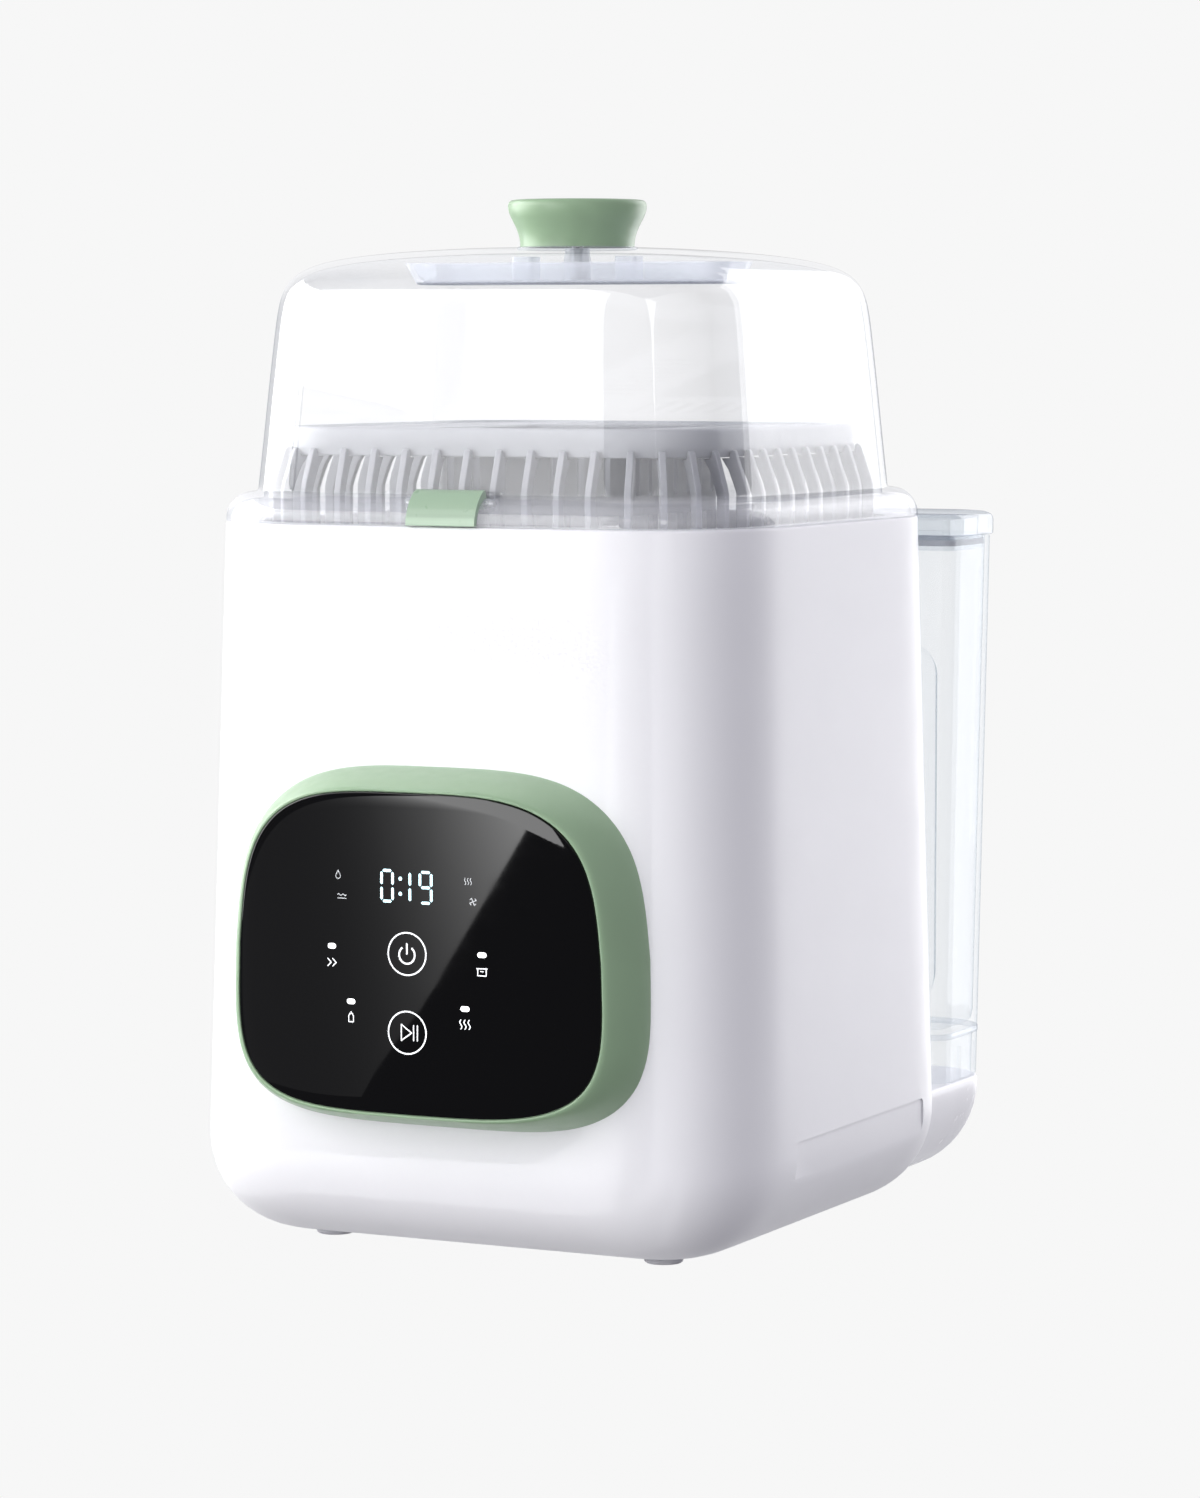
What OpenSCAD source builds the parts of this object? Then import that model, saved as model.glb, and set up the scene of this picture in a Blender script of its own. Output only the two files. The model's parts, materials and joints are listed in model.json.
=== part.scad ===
// Countertop baby bottle washer, steam sterilizer and dryer.
// Millimetres, +Z up. The frame's origin is at the centre of the bounding box's bottom face,
// X runs across the front and Y from the control panel (front) to the water tanks (back).

/* [Housing] */
// Width and depth of the housing at its top rim
body_w = 243; // [236:1:250]
// How much wider the housing is at its base than at the rim
body_flare = 13.6; // [4:0.2:16]
// Corner radius of the housing in plan
body_r = 52; // [48:1:56]
// Height of the rim above the table
rim_z = 297.5; // [290:0.5:305]
// Radius of the round lower edge
base_fillet = 41; // [36:1:44]
// Wall thickness of the housing
shell_t = 3; // [2.5:0.1:3.5]
// Height of the rubber feet
foot_h = 4; // [3:0.5:6]

/* [Lid] */
// Height of the lid's skirt above the rim
skirt_h = 12; // [11:0.5:14]
// Half width of the dome where it leaves the skirt
dome_half = 109.9; // [109:0.1:111]
// Height of the dome's crown above the table
crown_z = 410.3; // [405:0.1:415]
// Wall thickness of the clear lid
lid_t = 2.5; // [2:0.1:3]
// Radius of the knob at its rim
knob_r = 29; // [26:0.5:31]
// Height of the knob
knob_h = 19.7; // [17:0.1:22]

/* [Control panel] */
// Height of the middle of the glass
panel_z = 129.5; // [127:0.5:132]
// Radius of the glass's crown from left to right
glass_crown_r = 412; // [380:1:450]
// How far in front of the housing's centre the glass reaches
glass_front = 151; // [149:0.5:153]
// Thickness of the glass
glass_t = 2.5; // [2:0.1:3]

/* [Tanks] */
// Outer side of each tank from the middle plane, at the top
tank_side = 118; // [114:0.5:119]
// Inner side of each tank from the middle plane
tank_inner = 20; // [20:0.5:26]
// Front wall of the tanks from the housing's centre
tank_front = 129; // [128.8:0.1:130]
// Back wall of the tanks from the housing's centre, at the top
tank_back = 187.7; // [184:0.1:189]
// Height of the dock that the tanks stand on
dock_z = 47; // [45:0.5:50]
// Wall thickness of the tanks
tank_t = 2.2; // [2:0.1:2.6]

/* [Racks] */
// Half width of the bottle rack
rack_half = 104.8; // [103:0.1:105]
// Half width of the accessory tray
tray_half = 96.7; // [96:0.1:97]
// Distance of the bottle places from the middle planes
bottle_xy = 50; // [48:1:52]

/* [Hidden] */
$fn = 48;

lid_lip = 1.5;
mid_y = (tank_back + lid_lip - glass_front) / 2;
skirt_z = rim_z + skirt_h;
basin_half = 109.5;
basin_t = 2.5;
basin_floor = 104;
flange_t = 2.5;
tray_z = 325;
tray_h = 11.5;
run_gap = 0.05;
sign = [-1, 1];

// ---------------------------------------------------------------- shared shapes

// Everything is drawn about the housing's own axis, then moved so that the origin is the box's centre.
module place() translate([0, -mid_y, 0]) children();

// A rectangle with round corners, centred.
module rounded(w, d, r) {
    square([w - 2 * r, d], center = true);
    square([w, d - 2 * r], center = true);
    for (x = sign, y = sign) translate([x * (w / 2 - r), y * (d / 2 - r)]) circle(r);
}

// A flat slab on that outline, standing on height z.
module slab(half, r, z, h) translate([0, 0, z]) linear_extrude(h) rounded(2 * half, 2 * half, r);

// A frame between two such outlines of even thickness t.
module frame_ring(half, r, t, z, h) difference() {
    slab(half, r, z, h);
    slab(half - t, r - t, z - 1, h + 2);
}

// A leaf-thin slab, for hulls.
module leaf(half, r, z) translate([0, 0, z]) linear_extrude(0.01) rounded(2 * half, 2 * half, r);

// Copies at the four places (x, y), (-x, y), (x, -y) and (-x, -y).
module four(x, y) for (i = sign, j = sign) translate([i * x, j * y, 0]) children();

// A round tube of inner radius ri.
module tube(r, ri, h) difference() {
    cylinder(r = r, h = h);
    translate([0, 0, -1]) cylinder(r = ri, h = h + 2);
}

// A hose through a list of points: straight round pieces joined by slightly larger elbow balls.
module hose(points, r) {
    for (i = [0 : len(points) - 2]) {
        along = points[i + 1] - points[i];
        translate(points[i]) rotate([0, acos(along[2] / norm(along)), atan2(along[1], along[0])])
            cylinder(r = r, h = norm(along), $fn = 12);
    }
    for (i = [1 : len(points) - 2]) translate(points[i]) sphere(r + 0.9, $fn = 12);
}

// ---------------------------------------------------------------- housing and base

// Half width of the housing at height z: its walls lean out towards the base.
function half_at(z) = body_w / 2 + body_flare / 2 * (rim_z - z) / (rim_z - foot_h);

// The housing's outer form, grown by g, up to height top. Its lower edge is round.
module body_solid(g, top) hull() {
    for (t = [0 : 15 : 90]) {
        z = foot_h + base_fillet - (base_fillet + g) * sin(t);
        inward = base_fillet - (base_fillet + g) * cos(t);
        leaf(half_at(z) - inward, body_r - inward, z);
    }
    leaf(half_at(top) + g, body_r + g, top - 0.01);
}

dock_half = 116;
dock_back = 185;
dock_r = 26;
dock_fillet = 40;
dock_root = 60;

// The dock behind the housing that carries the tanks, grown by g, up to height top.
module dock_solid(g, top) hull() {
    for (t = [0 : 15 : 90]) {
        inward = dock_fillet - (dock_fillet + g) * cos(t);
        dock_leaf(inward, foot_h + dock_fillet - (dock_fillet + g) * sin(t));
    }
    dock_leaf(-g, top - 0.01);
}

module dock_leaf(inward, z) {
    r = max(dock_r - inward, 1);
    for (x = sign) translate([x * (dock_half - inward - r), 0, z]) {
        translate([0, dock_root, 0]) cylinder(r = r, h = 0.01);
        translate([0, dock_back - inward - r, 0]) cylinder(r = r, h = 0.01);
    }
}

spine_half = 18;
spine_back = 178;
spine_top = 291;
door_z = 173;
door_h = 92;
door_t = 2.5;
door_half = 15;
door_pin_r = 1;
door_pin_z = door_z + 2;
door_pin_y = spine_back - door_t / 2;
inlet_z = 70;
valve_x = 69;
valve_y = 158;
grip_x = 125.4;
board_hole = [120, 86];
plate_half = 86;
plate_t = 2;
ledge_half = 78;
screw_xy = [81.8, 35];

// The box column between the two tanks.
module spine(g) translate([0, (spine_back + 112) / 2, dock_z - 6 - g])
    linear_extrude(spine_top - dock_z + 6 + 2 * g) rounded(2 * (spine_half + g), spine_back - 112 + 2 * g, 3.5 + g);

module housing() color("white") difference() {
    union() {
        body_solid(0, rim_z);
        dock_solid(0, dock_z);
    }
    difference() {
        union() {
            body_solid(-shell_t, rim_z - shell_t);
            dock_solid(-shell_t, dock_z - shell_t);
            spine(-shell_t);
        }
        four(screw_xy[0], screw_xy[1]) cylinder(r = 4.5, h = 16);
    }
    slab(basin_half + 0.3, 46.3, rim_z - 10, 20);
    slab(ledge_half, 12, 0, 10);
    slab(plate_half + 0.2, 15.2, 0, foot_h + plate_t);
    four(screw_xy[0], screw_xy[1]) cylinder(r = 1.6, h = 15);
    translate([-board_hole[0] / 2, -140, panel_z - board_hole[1] / 2]) cube([board_hole[0], 40, board_hole[1]]);
    for (x = sign) {
        translate([x * valve_x, valve_y, dock_z - 10]) cylinder(r = 6.2, h = 20);
        translate([x * (grip_x + 10), 9.5, 41.5]) cube([20, 133, 17], center = true);
    }
}

// The box column behind the housing, on the dock: it holds the air filter's door and the power inlet.
module back_column() color("white") difference() {
    spine(0);
    spine(-shell_t);
    body_solid(0, rim_z);
    translate([-50, 0, 0]) cube([100, 300, dock_z]);
    translate([-door_half - 0.3, spine_back - 5, door_z - 1]) cube([2 * door_half + 0.6, 10, door_h + 1.3]);
    translate([-16.7, door_pin_y, door_pin_z]) rotate([0, 90, 0]) cylinder(r = door_pin_r + run_gap, h = 33.4);
    translate([-14, spine_back - 10, inlet_z - 10.2]) cube([28, 20, 20.4]);
}

module base_plate() color("gainsboro") difference() {
    slab(plate_half, 15, foot_h, plate_t);
    four(screw_xy[0], screw_xy[1]) {
        cylinder(r = 1.6, h = 10);
        cylinder(r = 3.2, h = foot_h + 1.2);
    }
    for (i = [-3 : 3], j = [0, 1]) translate([-40 + 50 * j, 12 * i - 1.5, 0]) cube([30, 3, 10]);
}

module rubber_feet() color("lightgray") four(76, 74) cylinder(r = 8, h = foot_h);

module base_screws() color("silver") four(screw_xy[0], screw_xy[1]) {
    translate([0, 0, foot_h + 0.2]) cylinder(r = 3, h = 1);
    translate([0, 0, foot_h + 1.2]) cylinder(r = 1.5, h = 8);
}

// ---------------------------------------------------------------- control panel

// The panel's outline in the X-Z plane: a superellipse of half width w and half height h that is
// fuller below its middle and narrower above it. lean is how much its width falls towards the top.
function outline(w, h, lean) = [
    for (t = [0 : 7.5 : 352.5])
        let (c = cos(t), s = sin(t), n = s > 0 ? 3.5 : 4.2,
            v = sign_of(s) * pow(abs(s), 2 / n), half = w - (v > 0 ? lean : 2) * v)
        [half * sign_of(c) * pow(abs(c), 2 / n), panel_z + h * v]
];
function sign_of(x) = x > 0 ? 1 : x < 0 ? -1 : 0;

glass_w = 81;
glass_h = 64;
bezel_w = 92.5;
bezel_h = 72.6;

// The outline grown by g, drawn as a bar from y0 back to y1.
module panel_bar(w, h, lean, y0, y1) translate([0, y1, 0]) rotate([90, 0, 0])
    linear_extrude(y1 - y0) polygon(outline(w, h, lean));

// A plate that follows the crown from left to right, between depths near and far behind its face.
module crowned(w, h, near, far) intersection() {
    panel_bar(w, h, 5.5, -glass_front - 5, -glass_front + 20);
    translate([0, glass_crown_r - glass_front, panel_z - 100]) difference() {
        cylinder(r = glass_crown_r - near, h = 200, $fn = 180);
        translate([0, 0, -1]) cylinder(r = glass_crown_r - far, h = 202, $fn = 180);
    }
}

module control_glass() color("black") crowned(glass_w, glass_h, 0, glass_t);

module control_bezel() color("darkseagreen") difference() {
    hull() {
        panel_bar(bezel_w, bezel_h, 7, -122, -120);
        crowned(glass_w + 0.8, glass_h + 0.8, 0.1, 1);
    }
    crowned(glass_w + 0.2, glass_h + 0.2, -6, glass_t + 0.05);
    panel_bar(glass_w - 6, glass_h - 6, 5.5, -160, -100);
    body_solid(0.15, rim_z);
}

board_y = -134;

module display_board() color("darkgreen") {
    translate([-58, board_y, panel_z - 41]) cube([116, 1.6, 82]);
    color("dimgray") translate([-15, board_y - 7, panel_z + 19]) cube([30, 7, 16]);
}

touch_points = [[0, 0.3], [0, -31], [34, 1.5], [-34, 1.5], [25.8, -20.5], [-25.8, -20.5]];

module touch_springs() color("silver") for (p = touch_points) {
    reach = glass_front - glass_t - 0.3 - p[0] * p[0] / (2 * glass_crown_r) + board_y;
    translate([p[0], board_y, panel_z + p[1]]) rotate([90, 0, 0]) tube(3, 2.2, reach);
}

// ---------------------------------------------------------------- wash chamber

module wash_basin() color("lightgray") difference() {
    union() {
        slab(basin_half, 46, basin_floor, rim_z - basin_floor + 1);
        slab(116, 46.5, rim_z, flange_t);
        translate([0, 0, basin_floor - 20]) cylinder(r = 33, h = 21);
    }
    slab(basin_half - basin_t, 46 - basin_t, basin_floor + basin_t, 250);
    translate([0, 0, basin_floor - 17.5]) cylinder(r = 30.5, h = 40);
    translate([bottle_xy, 0, 90]) cylinder(r = 5.2, h = 30);
    translate([duct_x, 85, 90]) cylinder(r = 14.2, h = 30);
    translate([-22, 0, 80]) cylinder(r = 4.2, h = 10);
}

module steam_heater() color("silver") {
    translate([0, 0, basin_floor - 5]) rotate_extrude($fn = 96) translate([40.8, 0]) circle(3.5, $fn = 24);
    for (x = [-6, 6]) translate([x, -47, basin_floor - 5]) rotate([90, 0, 0]) cylinder(r = 2, h = 14, $fn = 24);
}

module sump_filter() color("slategray") difference() {
    union() {
        translate([0, 0, basin_floor - 17]) cylinder(r = 29.5, h = 24);
        translate([0, 0, basin_floor + basin_t]) cylinder(r = 34, h = 1.5);
    }
    translate([0, 0, basin_floor - 15.5]) cylinder(r = 28, h = 40);
    for (a = [0 : 15 : 345]) rotate(a) translate([24, -1, basin_floor - 14]) cube([10, 2, 14]);
    for (a = [0 : 30 : 330]) rotate(a) translate([10, -1.2, basin_floor - 20]) cube([14, 2.4, 10]);
}

manifold_z = basin_floor + basin_t + 5.5;

module spray_manifold() color("gainsboro") {
    for (a = [0 : 90 : 270]) rotate(a) translate([-bottle_xy, -bottle_xy, manifold_z]) {
        rotate([0, 90, 0]) cylinder(r = 4.5, h = 2 * bottle_xy);
        translate([0, 0, -5.5]) cylinder(r = 8, h = 13.5);
    }
    translate([bottle_xy, 0, basin_floor - 8]) cylinder(r = 5, h = manifold_z - basin_floor + 8);
}

module spray_nozzles() color("gainsboro") four(bottle_xy, bottle_xy) translate([0, 0, manifold_z + 8])
    difference() {
        union() {
            cylinder(r = 4.5, h = 64);
            translate([0, 0, 64]) cylinder(r1 = 4.5, r2 = 2.5, h = 8);
        }
        translate([0, 0, -1]) cylinder(r = 3, h = 62);
        translate([0, 0, 50]) cylinder(r = 1.2, h = 30);
        for (a = [0, 90]) rotate(a) translate([0, 0, 56]) rotate([90, 0, 0]) cylinder(r = 1, h = 20, center = true);
    }

// ---------------------------------------------------------------- pumps, blower and electrics

// A closed round case with an inner chamber, an outlet stub to +X and a shaft hole below.
module pump_case(r, h, bore) difference() {
    union() {
        cylinder(r = r, h = h);
        translate([0, r - 6, h / 2]) rotate([0, 90, 0]) cylinder(r = 5, h = r + 10);
        translate([0, 0, h - 1]) cylinder(r = 6, h = 9);
    }
    translate([0, 0, 2.5]) cylinder(r = r - 2.5, h = h - 5);
    translate([0, r - 6, h / 2]) rotate([0, 90, 0]) cylinder(r = 3.5, h = r + 12);
    translate([0, 0, h - 5]) cylinder(r = 4.5, h = 20);
    translate([0, 0, -1]) cylinder(r = bore, h = 10);
}

// A can motor with a bearing bore for a shaft of radius 2.
module motor(r, h) difference() {
    union() {
        cylinder(r = r, h = h);
        translate([0, 0, -3]) cylinder(r = 6, h = 4);
    }
    translate([0, 0, h - 26]) cylinder(r = 2 + run_gap, h = 30);
}

// A wheel with n blades on a disc and a shaft of radius 2 that reaches down into the motor.
module impeller(r, h, n, reach) {
    cylinder(r = r, h = 2);
    cylinder(r = 5, h = h);
    translate([0, 0, -reach]) cylinder(r = 2, h = reach + 1);
    for (a = [0 : 360 / n : 359]) rotate(a) translate([4, -0.75, 1]) rotate([0, 0, 12]) cube([r - 7, 1.5, h - 1]);
}

wash_pump = [-48, -34, 58];
drain_pump = [44, -52, 52];
blower = [50, 44, 55];
duct_x = -4;

module wash_pump_case() color("dimgray") translate(wash_pump) pump_case(27, 20, 3);
module wash_pump_motor() color("silver") translate(wash_pump - [0, 0, 39]) motor(20, 39);
module wash_impeller() color("ivory") translate(wash_pump + [0, 0, 4]) impeller(22, 12, 7, 24);

module drain_pump_case() color("dimgray") translate(drain_pump) pump_case(20, 16, 3);
module drain_pump_motor() color("silver") translate(drain_pump - [0, 0, 32]) motor(15, 32);
module drain_impeller() color("ivory") translate(drain_pump + [0, 0, 4]) impeller(15, 8, 5, 20);

// A scroll blower: a round case with an open eye above and a square outlet towards the back.
module blower_case() color("dimgray") translate(blower) difference() {
    union() {
        cylinder(r = 38, h = 28);
        translate([-38, 0, 0]) cube([24, 44, 28]);
    }
    translate([0, 0, 2.5]) cylinder(r = 35.5, h = 23);
    translate([-35.5, 0, 2.5]) cube([19, 60, 23]);
    translate([0, 0, 20]) cylinder(r = 20, h = 20);
    translate([0, 0, -1]) cylinder(r = 3, h = 10);
}
module blower_motor() color("silver") translate(blower - [0, 0, 38]) motor(17, 38);

module blower_wheel() color("ivory") translate(blower + [0, 0, 4]) {
    cylinder(r = 30, h = 1.5);
    cylinder(r = 6, h = 14);
    translate([0, 0, -24]) cylinder(r = 2, h = 25);
    for (a = [0 : 15 : 345]) rotate(a) translate([26, -0.6, 1]) rotate([0, 0, 25]) cube([4, 1.2, 17]);
    translate([0, 0, 17.5]) tube(31, 25, 1.5);
}

// A finned block in the air's way, between the blower's outlet and the duct.
module air_heater() color("tan") translate([blower[0] - 26, blower[1] + 50, blower[2] + 14])
    difference() {
    cube([24, 11, 28], center = true);
    for (z = [-10 : 5 : 10]) translate([0, 0, z]) cube([18, 20, 3], center = true);
}

// The duct that lifts warm air from the heater into the chamber through the basin's floor.
module air_duct() color("gainsboro") difference() {
    union() {
        translate([-18, 99.8, blower[2]]) cube([55, 13.2, 28]);
        translate([-18, 71, blower[2] + 14]) cube([28.5, 42, 14]);
        translate([duct_x, 85, blower[2] + 22]) cylinder(r = 14, h = 42);
    }
    translate([-16, 99, blower[2] + 2]) cube([51, 12, 24]);
    translate([-16, 73, blower[2] + 16]) cube([24.5, 38, 10]);
    translate([duct_x, 85, blower[2] + 18]) cylinder(r = 12, h = 42);
    for (a = [0 : 45 : 315]) translate([duct_x, 85, blower[2] + 54]) rotate(a) translate([8, -2, 0]) cube([10, 4, 7]);
}

module air_filter() color("beige") for (i = [0 : 13]) translate([-12, 158, 180 + 6 * i]) {
    cube([24, 12, 1.2]);
    translate([0, i % 2 == 0 ? 10.8 : 0, 0]) cube([24, 1.2, i < 13 ? 7.2 : 1.2]);
}

module filter_door() color("white") difference() {
    union() {
        translate([-door_half, spine_back - door_t, door_z + 0.5]) cube([2 * door_half, door_t, door_h - 1]);
        translate([-5, spine_back, door_z + door_h - 8]) cube([10, 2, 2.5]);
    }
    for (i = [0 : 9]) translate([-10, spine_back - 5, door_z + 12 + 7 * i]) cube([20, 10, 3]);
    translate([-20, door_pin_y, door_pin_z]) rotate([0, 90, 0]) cylinder(r = door_pin_r + run_gap, h = 40, $fn = 24);
}

module filter_door_pin() color("silver") translate([-16.5, door_pin_y, door_pin_z]) rotate([0, 90, 0])
    cylinder(r = door_pin_r, h = 33, $fn = 24);

module main_board() color("darkgreen") {
    translate([-72, 18, 20]) cube([76, 58, 1.6]);
    color("gainsboro") for (x = [-68, 0], y = [22, 72]) translate([x, y, 6.2]) cylinder(r = 3, h = 13.8, $fn = 24);
}

module board_parts() color("goldenrod") {
    translate([-66, 26, 21.6]) cube([26, 22, 20]);
    for (i = [0 : 2]) translate([-32 + 12 * i, 34, 21.6]) cylinder(r = 5, h = 16, $fn = 24);
    for (i = [0 : 1]) translate([-64 + 22 * i, 56, 21.6]) cube([18, 14, 14]);
    translate([-16, 52, 21.6]) cube([14, 20, 8]);
}

module power_inlet() color("black") difference() {
    union() {
        translate([-13.8, spine_back - 18, inlet_z - 10]) cube([27.6, 18, 20]);
        translate([-15.5, spine_back, inlet_z - 13]) cube([31, 2, 26]);
    }
    translate([-11.5, spine_back - 15, inlet_z - 7]) cube([23, 20, 14]);
}

module inlet_pins() color("silver") for (p = [[-7, -2], [7, -2], [0, 3]])
    translate([p[0] - 1, spine_back - 15, inlet_z + p[1] - 2]) cube([2, 9, 4]);

module supply_hose() color("ghostwhite")
    hose([[valve_x, valve_y, 34], [valve_x, valve_y, 20], [valve_x, 132, 20], [100, 96, 26], [100, -6, 30],
        [88, -12, 84], [40, -62, 84], [-30, -54, 89], [-48, -34, 91.5], [-48, -34, 84]], 4);

module drain_hose() color("gray")
    hose([[-valve_x, valve_y, 34], [-valve_x, valve_y, 20], [-valve_x, 132, 20], [-100, 96, 26], [-100, -70, 32],
        [-60, -94, 40], [60, -94, 44], [92, -60, 52], [90, -38, 60], [76, -38, 60]], 4);

// ---------------------------------------------------------------- tank docks

module dock_seat() {
    translate([0, 0, 30]) tube(6, 4.2, dock_z - 29);
    translate([0, 0, dock_z]) tube(16, 13, 7);
    translate([0, 0, dock_z]) tube(13.5, 5.5, 1.5);
    for (a = [0, 90]) rotate(a) translate([-6, -0.8, dock_z - 4]) cube([12, 1.6, 4]);
    translate([0, 0, dock_z - 4]) cylinder(r = 2, h = tank_floor - dock_z - 7.3);
}
module clean_dock_seat() color("silver") translate([valve_x, valve_y, 0]) dock_seat();
module waste_dock_seat() color("silver") translate([-valve_x, valve_y, 0]) dock_seat();

// ---------------------------------------------------------------- lid

skirt_r = 11;
dome_r = 45;
dome_lean = 0.09;

// Heights below the crown, and how much of the dome's width is left there.
dome_rings = [[22.3, 1], [17.3, 0.989], [12.5, 0.968], [9, 0.93], [6.2, 0.862], [3, 0.715], [1.3, 0.5], [0, 0.25]];

function dome_at(z) = dome_half - dome_lean * (z - skirt_z);

// The skirt's outer form, grown by g, and the dome's.
module skirt_solid(g) hull() {
    leaf(body_w / 2 + 0.05 + g, body_r + g, rim_z - (g < 0 ? 1 : 0));
    for (t = [0 : 15 : 90]) {
        inward = skirt_r - (skirt_r + g) * cos(t);
        leaf(body_w / 2 - inward, body_r - inward, skirt_z - skirt_r + (skirt_r + g) * sin(t) - 0.01);
    }
}

module dome_solid(g) hull() {
    leaf(dome_half + g, dome_r + g, skirt_z - 3);
    for (ring = dome_rings) {
        half = (dome_at(crown_z - 22.3) + g) * ring[1];
        leaf(half, half * 0.41, crown_z - ring[0] + g - 0.01);
    }
}

latch_half = 15.5;
latch_pin_r = 1.25;
latch_pin = [-113.2, 306.6];
latch_barrel = 2.4;
notch_y = 110.3;
latch_arc = [-(body_w / 2 - skirt_r), skirt_z - skirt_r];

module lid_dome() color("azure", 0.35) difference() {
    union() {
        difference() {
            union() {
                skirt_solid(0);
                dome_solid(0);
            }
            skirt_solid(-3);
            dome_solid(-lid_t);
            translate([-latch_half - 0.4, -130, rim_z - 1]) cube([2 * latch_half + 0.8, 130 - notch_y, skirt_h + 5]);
        }
        for (x = sign) translate([x * 18 - 1.8, latch_pin[0] - 2.6, latch_pin[1] - 2.6]) cube([3.6, 5.4, 5]);
    }
    translate([-25, latch_pin[0], latch_pin[1]]) rotate([0, 90, 0]) cylinder(r = latch_pin_r + run_gap, h = 50, $fn = 24);
    cylinder(r = 2.6, h = 500);
}

module lid_gasket() color("lightgray") frame_ring(109.8, 45.3, 2.6, rim_z + flange_t + 0.3, 6.1);

// The knob: a turned handle with a flared rim, hollow below, on a screw boss.
module lid_knob() color("darkseagreen") translate([0, 0, crown_z]) difference() {
    rotate_extrude($fn = 96) polygon([[0, 0], [23.9, 0], [23.9, 2.5], [24.4, 5], [25.2, 7.5], [26.3, 10.2],
        [27.7, 12.4], [28.7, 14.2], [knob_r, 16], [28.7, 18], [27.4, 19.2], [25.5, knob_h], [0, knob_h]]);
    translate([0, 0, -1]) tube(20.5, 6, 16);
    translate([0, 0, -1]) cylinder(r = 2.5 + run_gap, h = 14);
}

baffle_z = 395;

module knob_screw() color("silver") {
    translate([0, 0, baffle_z + 1.6]) cylinder(r = 5, h = 3);
    translate([0, 0, baffle_z + 4.6]) cylinder(r = 2.5, h = crown_z + 7.4 - baffle_z);
}

// A shallow clear trough under the crown that keeps steam and drips off the knob's screw.
module steam_baffle() color("azure", 0.35) difference() {
    union() {
        difference() {
            trough(0);
            translate([0, 0, 1.8]) trough(-1.8);
        }
        translate([0, 0, baffle_z]) cylinder(r = 8, h = crown_z - lid_t - baffle_z - 0.1);
        for (x = [-24, 24]) translate([x, 0, baffle_z + 4.5]) cube([10, 14, 9], center = true);
    }
    translate([0, 0, baffle_z - 1]) cylinder(r = 2.6, h = 40);
    translate([0, 0, baffle_z - 1]) cylinder(r = 5.2, h = 5.6);
}

module trough(g) hull() {
    translate([-64.5 - g, -15 - g, baffle_z]) cube([129 + 2 * g, 30 + 2 * g, 0.01]);
    translate([-68.5 - g, -19 - g, baffle_z + 9]) cube([137 + 2 * g, 38 + 2 * g, 0.01]);
}

module latch_pin() color("silver") translate([-19.6, latch_pin[0], latch_pin[1]]) rotate([0, 90, 0])
    cylinder(r = latch_pin_r, h = 39.2, $fn = 24);

// A curved tab over the skirt's round edge, with a barrel for its pin and a nib at its lower end.
module lid_latch() color("lightgreen") translate([-latch_half, 0, 0]) difference() {
    union() {
        intersection() {
            translate([0, latch_arc[0], latch_arc[1]]) rotate([0, 90, 0]) tube(skirt_r + 1.2, skirt_r - 1.6, 2 * latch_half);
            translate([-1, -130, latch_arc[1]]) cube([50, 17.4, 30]);
        }
        translate([0, -body_w / 2 - 1.2, rim_z + 0.4]) cube([2 * latch_half, 2.8, latch_arc[1] - rim_z]);
        translate([0, -body_w / 2 - 1.2, rim_z + 0.4]) cube([2 * latch_half, 4.8, 1.4]);
        translate([0, latch_pin[0], latch_pin[1]]) rotate([0, 90, 0]) cylinder(r = latch_barrel, h = 2 * latch_half);
        translate([0, latch_pin[0] - 2, latch_pin[1]]) cube([2 * latch_half, 2.4, 2.4]);
    }
    translate([-1, latch_pin[0], latch_pin[1]]) rotate([0, 90, 0]) cylinder(r = latch_pin_r + run_gap, h = 50, $fn = 24);
}

// ---------------------------------------------------------------- tray and rack

basket_half = 45.5;

module accessory_tray() color("gainsboro") difference() {
    union() {
        frame_ring(tray_half, 35, 2.5, tray_z, tray_h);
        slab(tray_half - 1, 34, tray_z + tray_h - 4, 3);
    }
    slab(basket_half + 0.4, 8.4, tray_z, 20);
    for (a = [0 : 90 : 270], i = [-4 : 4]) rotate(a)
        translate([9.5 * i - 2, 55, tray_z]) cube([4, 28, 20]);
}

module parts_basket() color("gray") difference() {
    union() {
        slab(basket_half, 8, 300, tray_z + tray_h - 301);
        slab(basket_half + 3.5, 11.5, tray_z + tray_h - 1, 1);
    }
    slab(basket_half - 2, 6, 302, 50);
    for (i = [-3 : 3]) translate([12 * i - 2, -36, 290]) cube([4, 72, 20]);
    for (a = [0, 90], i = [-3 : 3]) rotate(a) translate([12 * i - 1.5, -60, 307]) cube([3, 120, 20]);
}

corner_off = 62.8;
rib_t = 3;

// One upright rib of the rack, in the plane of a side's normal; off is where its X starts.
module rib(off) rotate([90, 0, 0]) translate([-off, 0, -rib_t / 2]) linear_extrude(rib_t)
    polygon([[93, 324.7], [tray_half + 0.3, 324.7], [tray_half + 0.3, 327], [99.3, 327], [rack_half, 312],
        [rack_half, 124], [rack_half - 4.5, 124], [rack_half - 4.5, 309]]);

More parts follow.
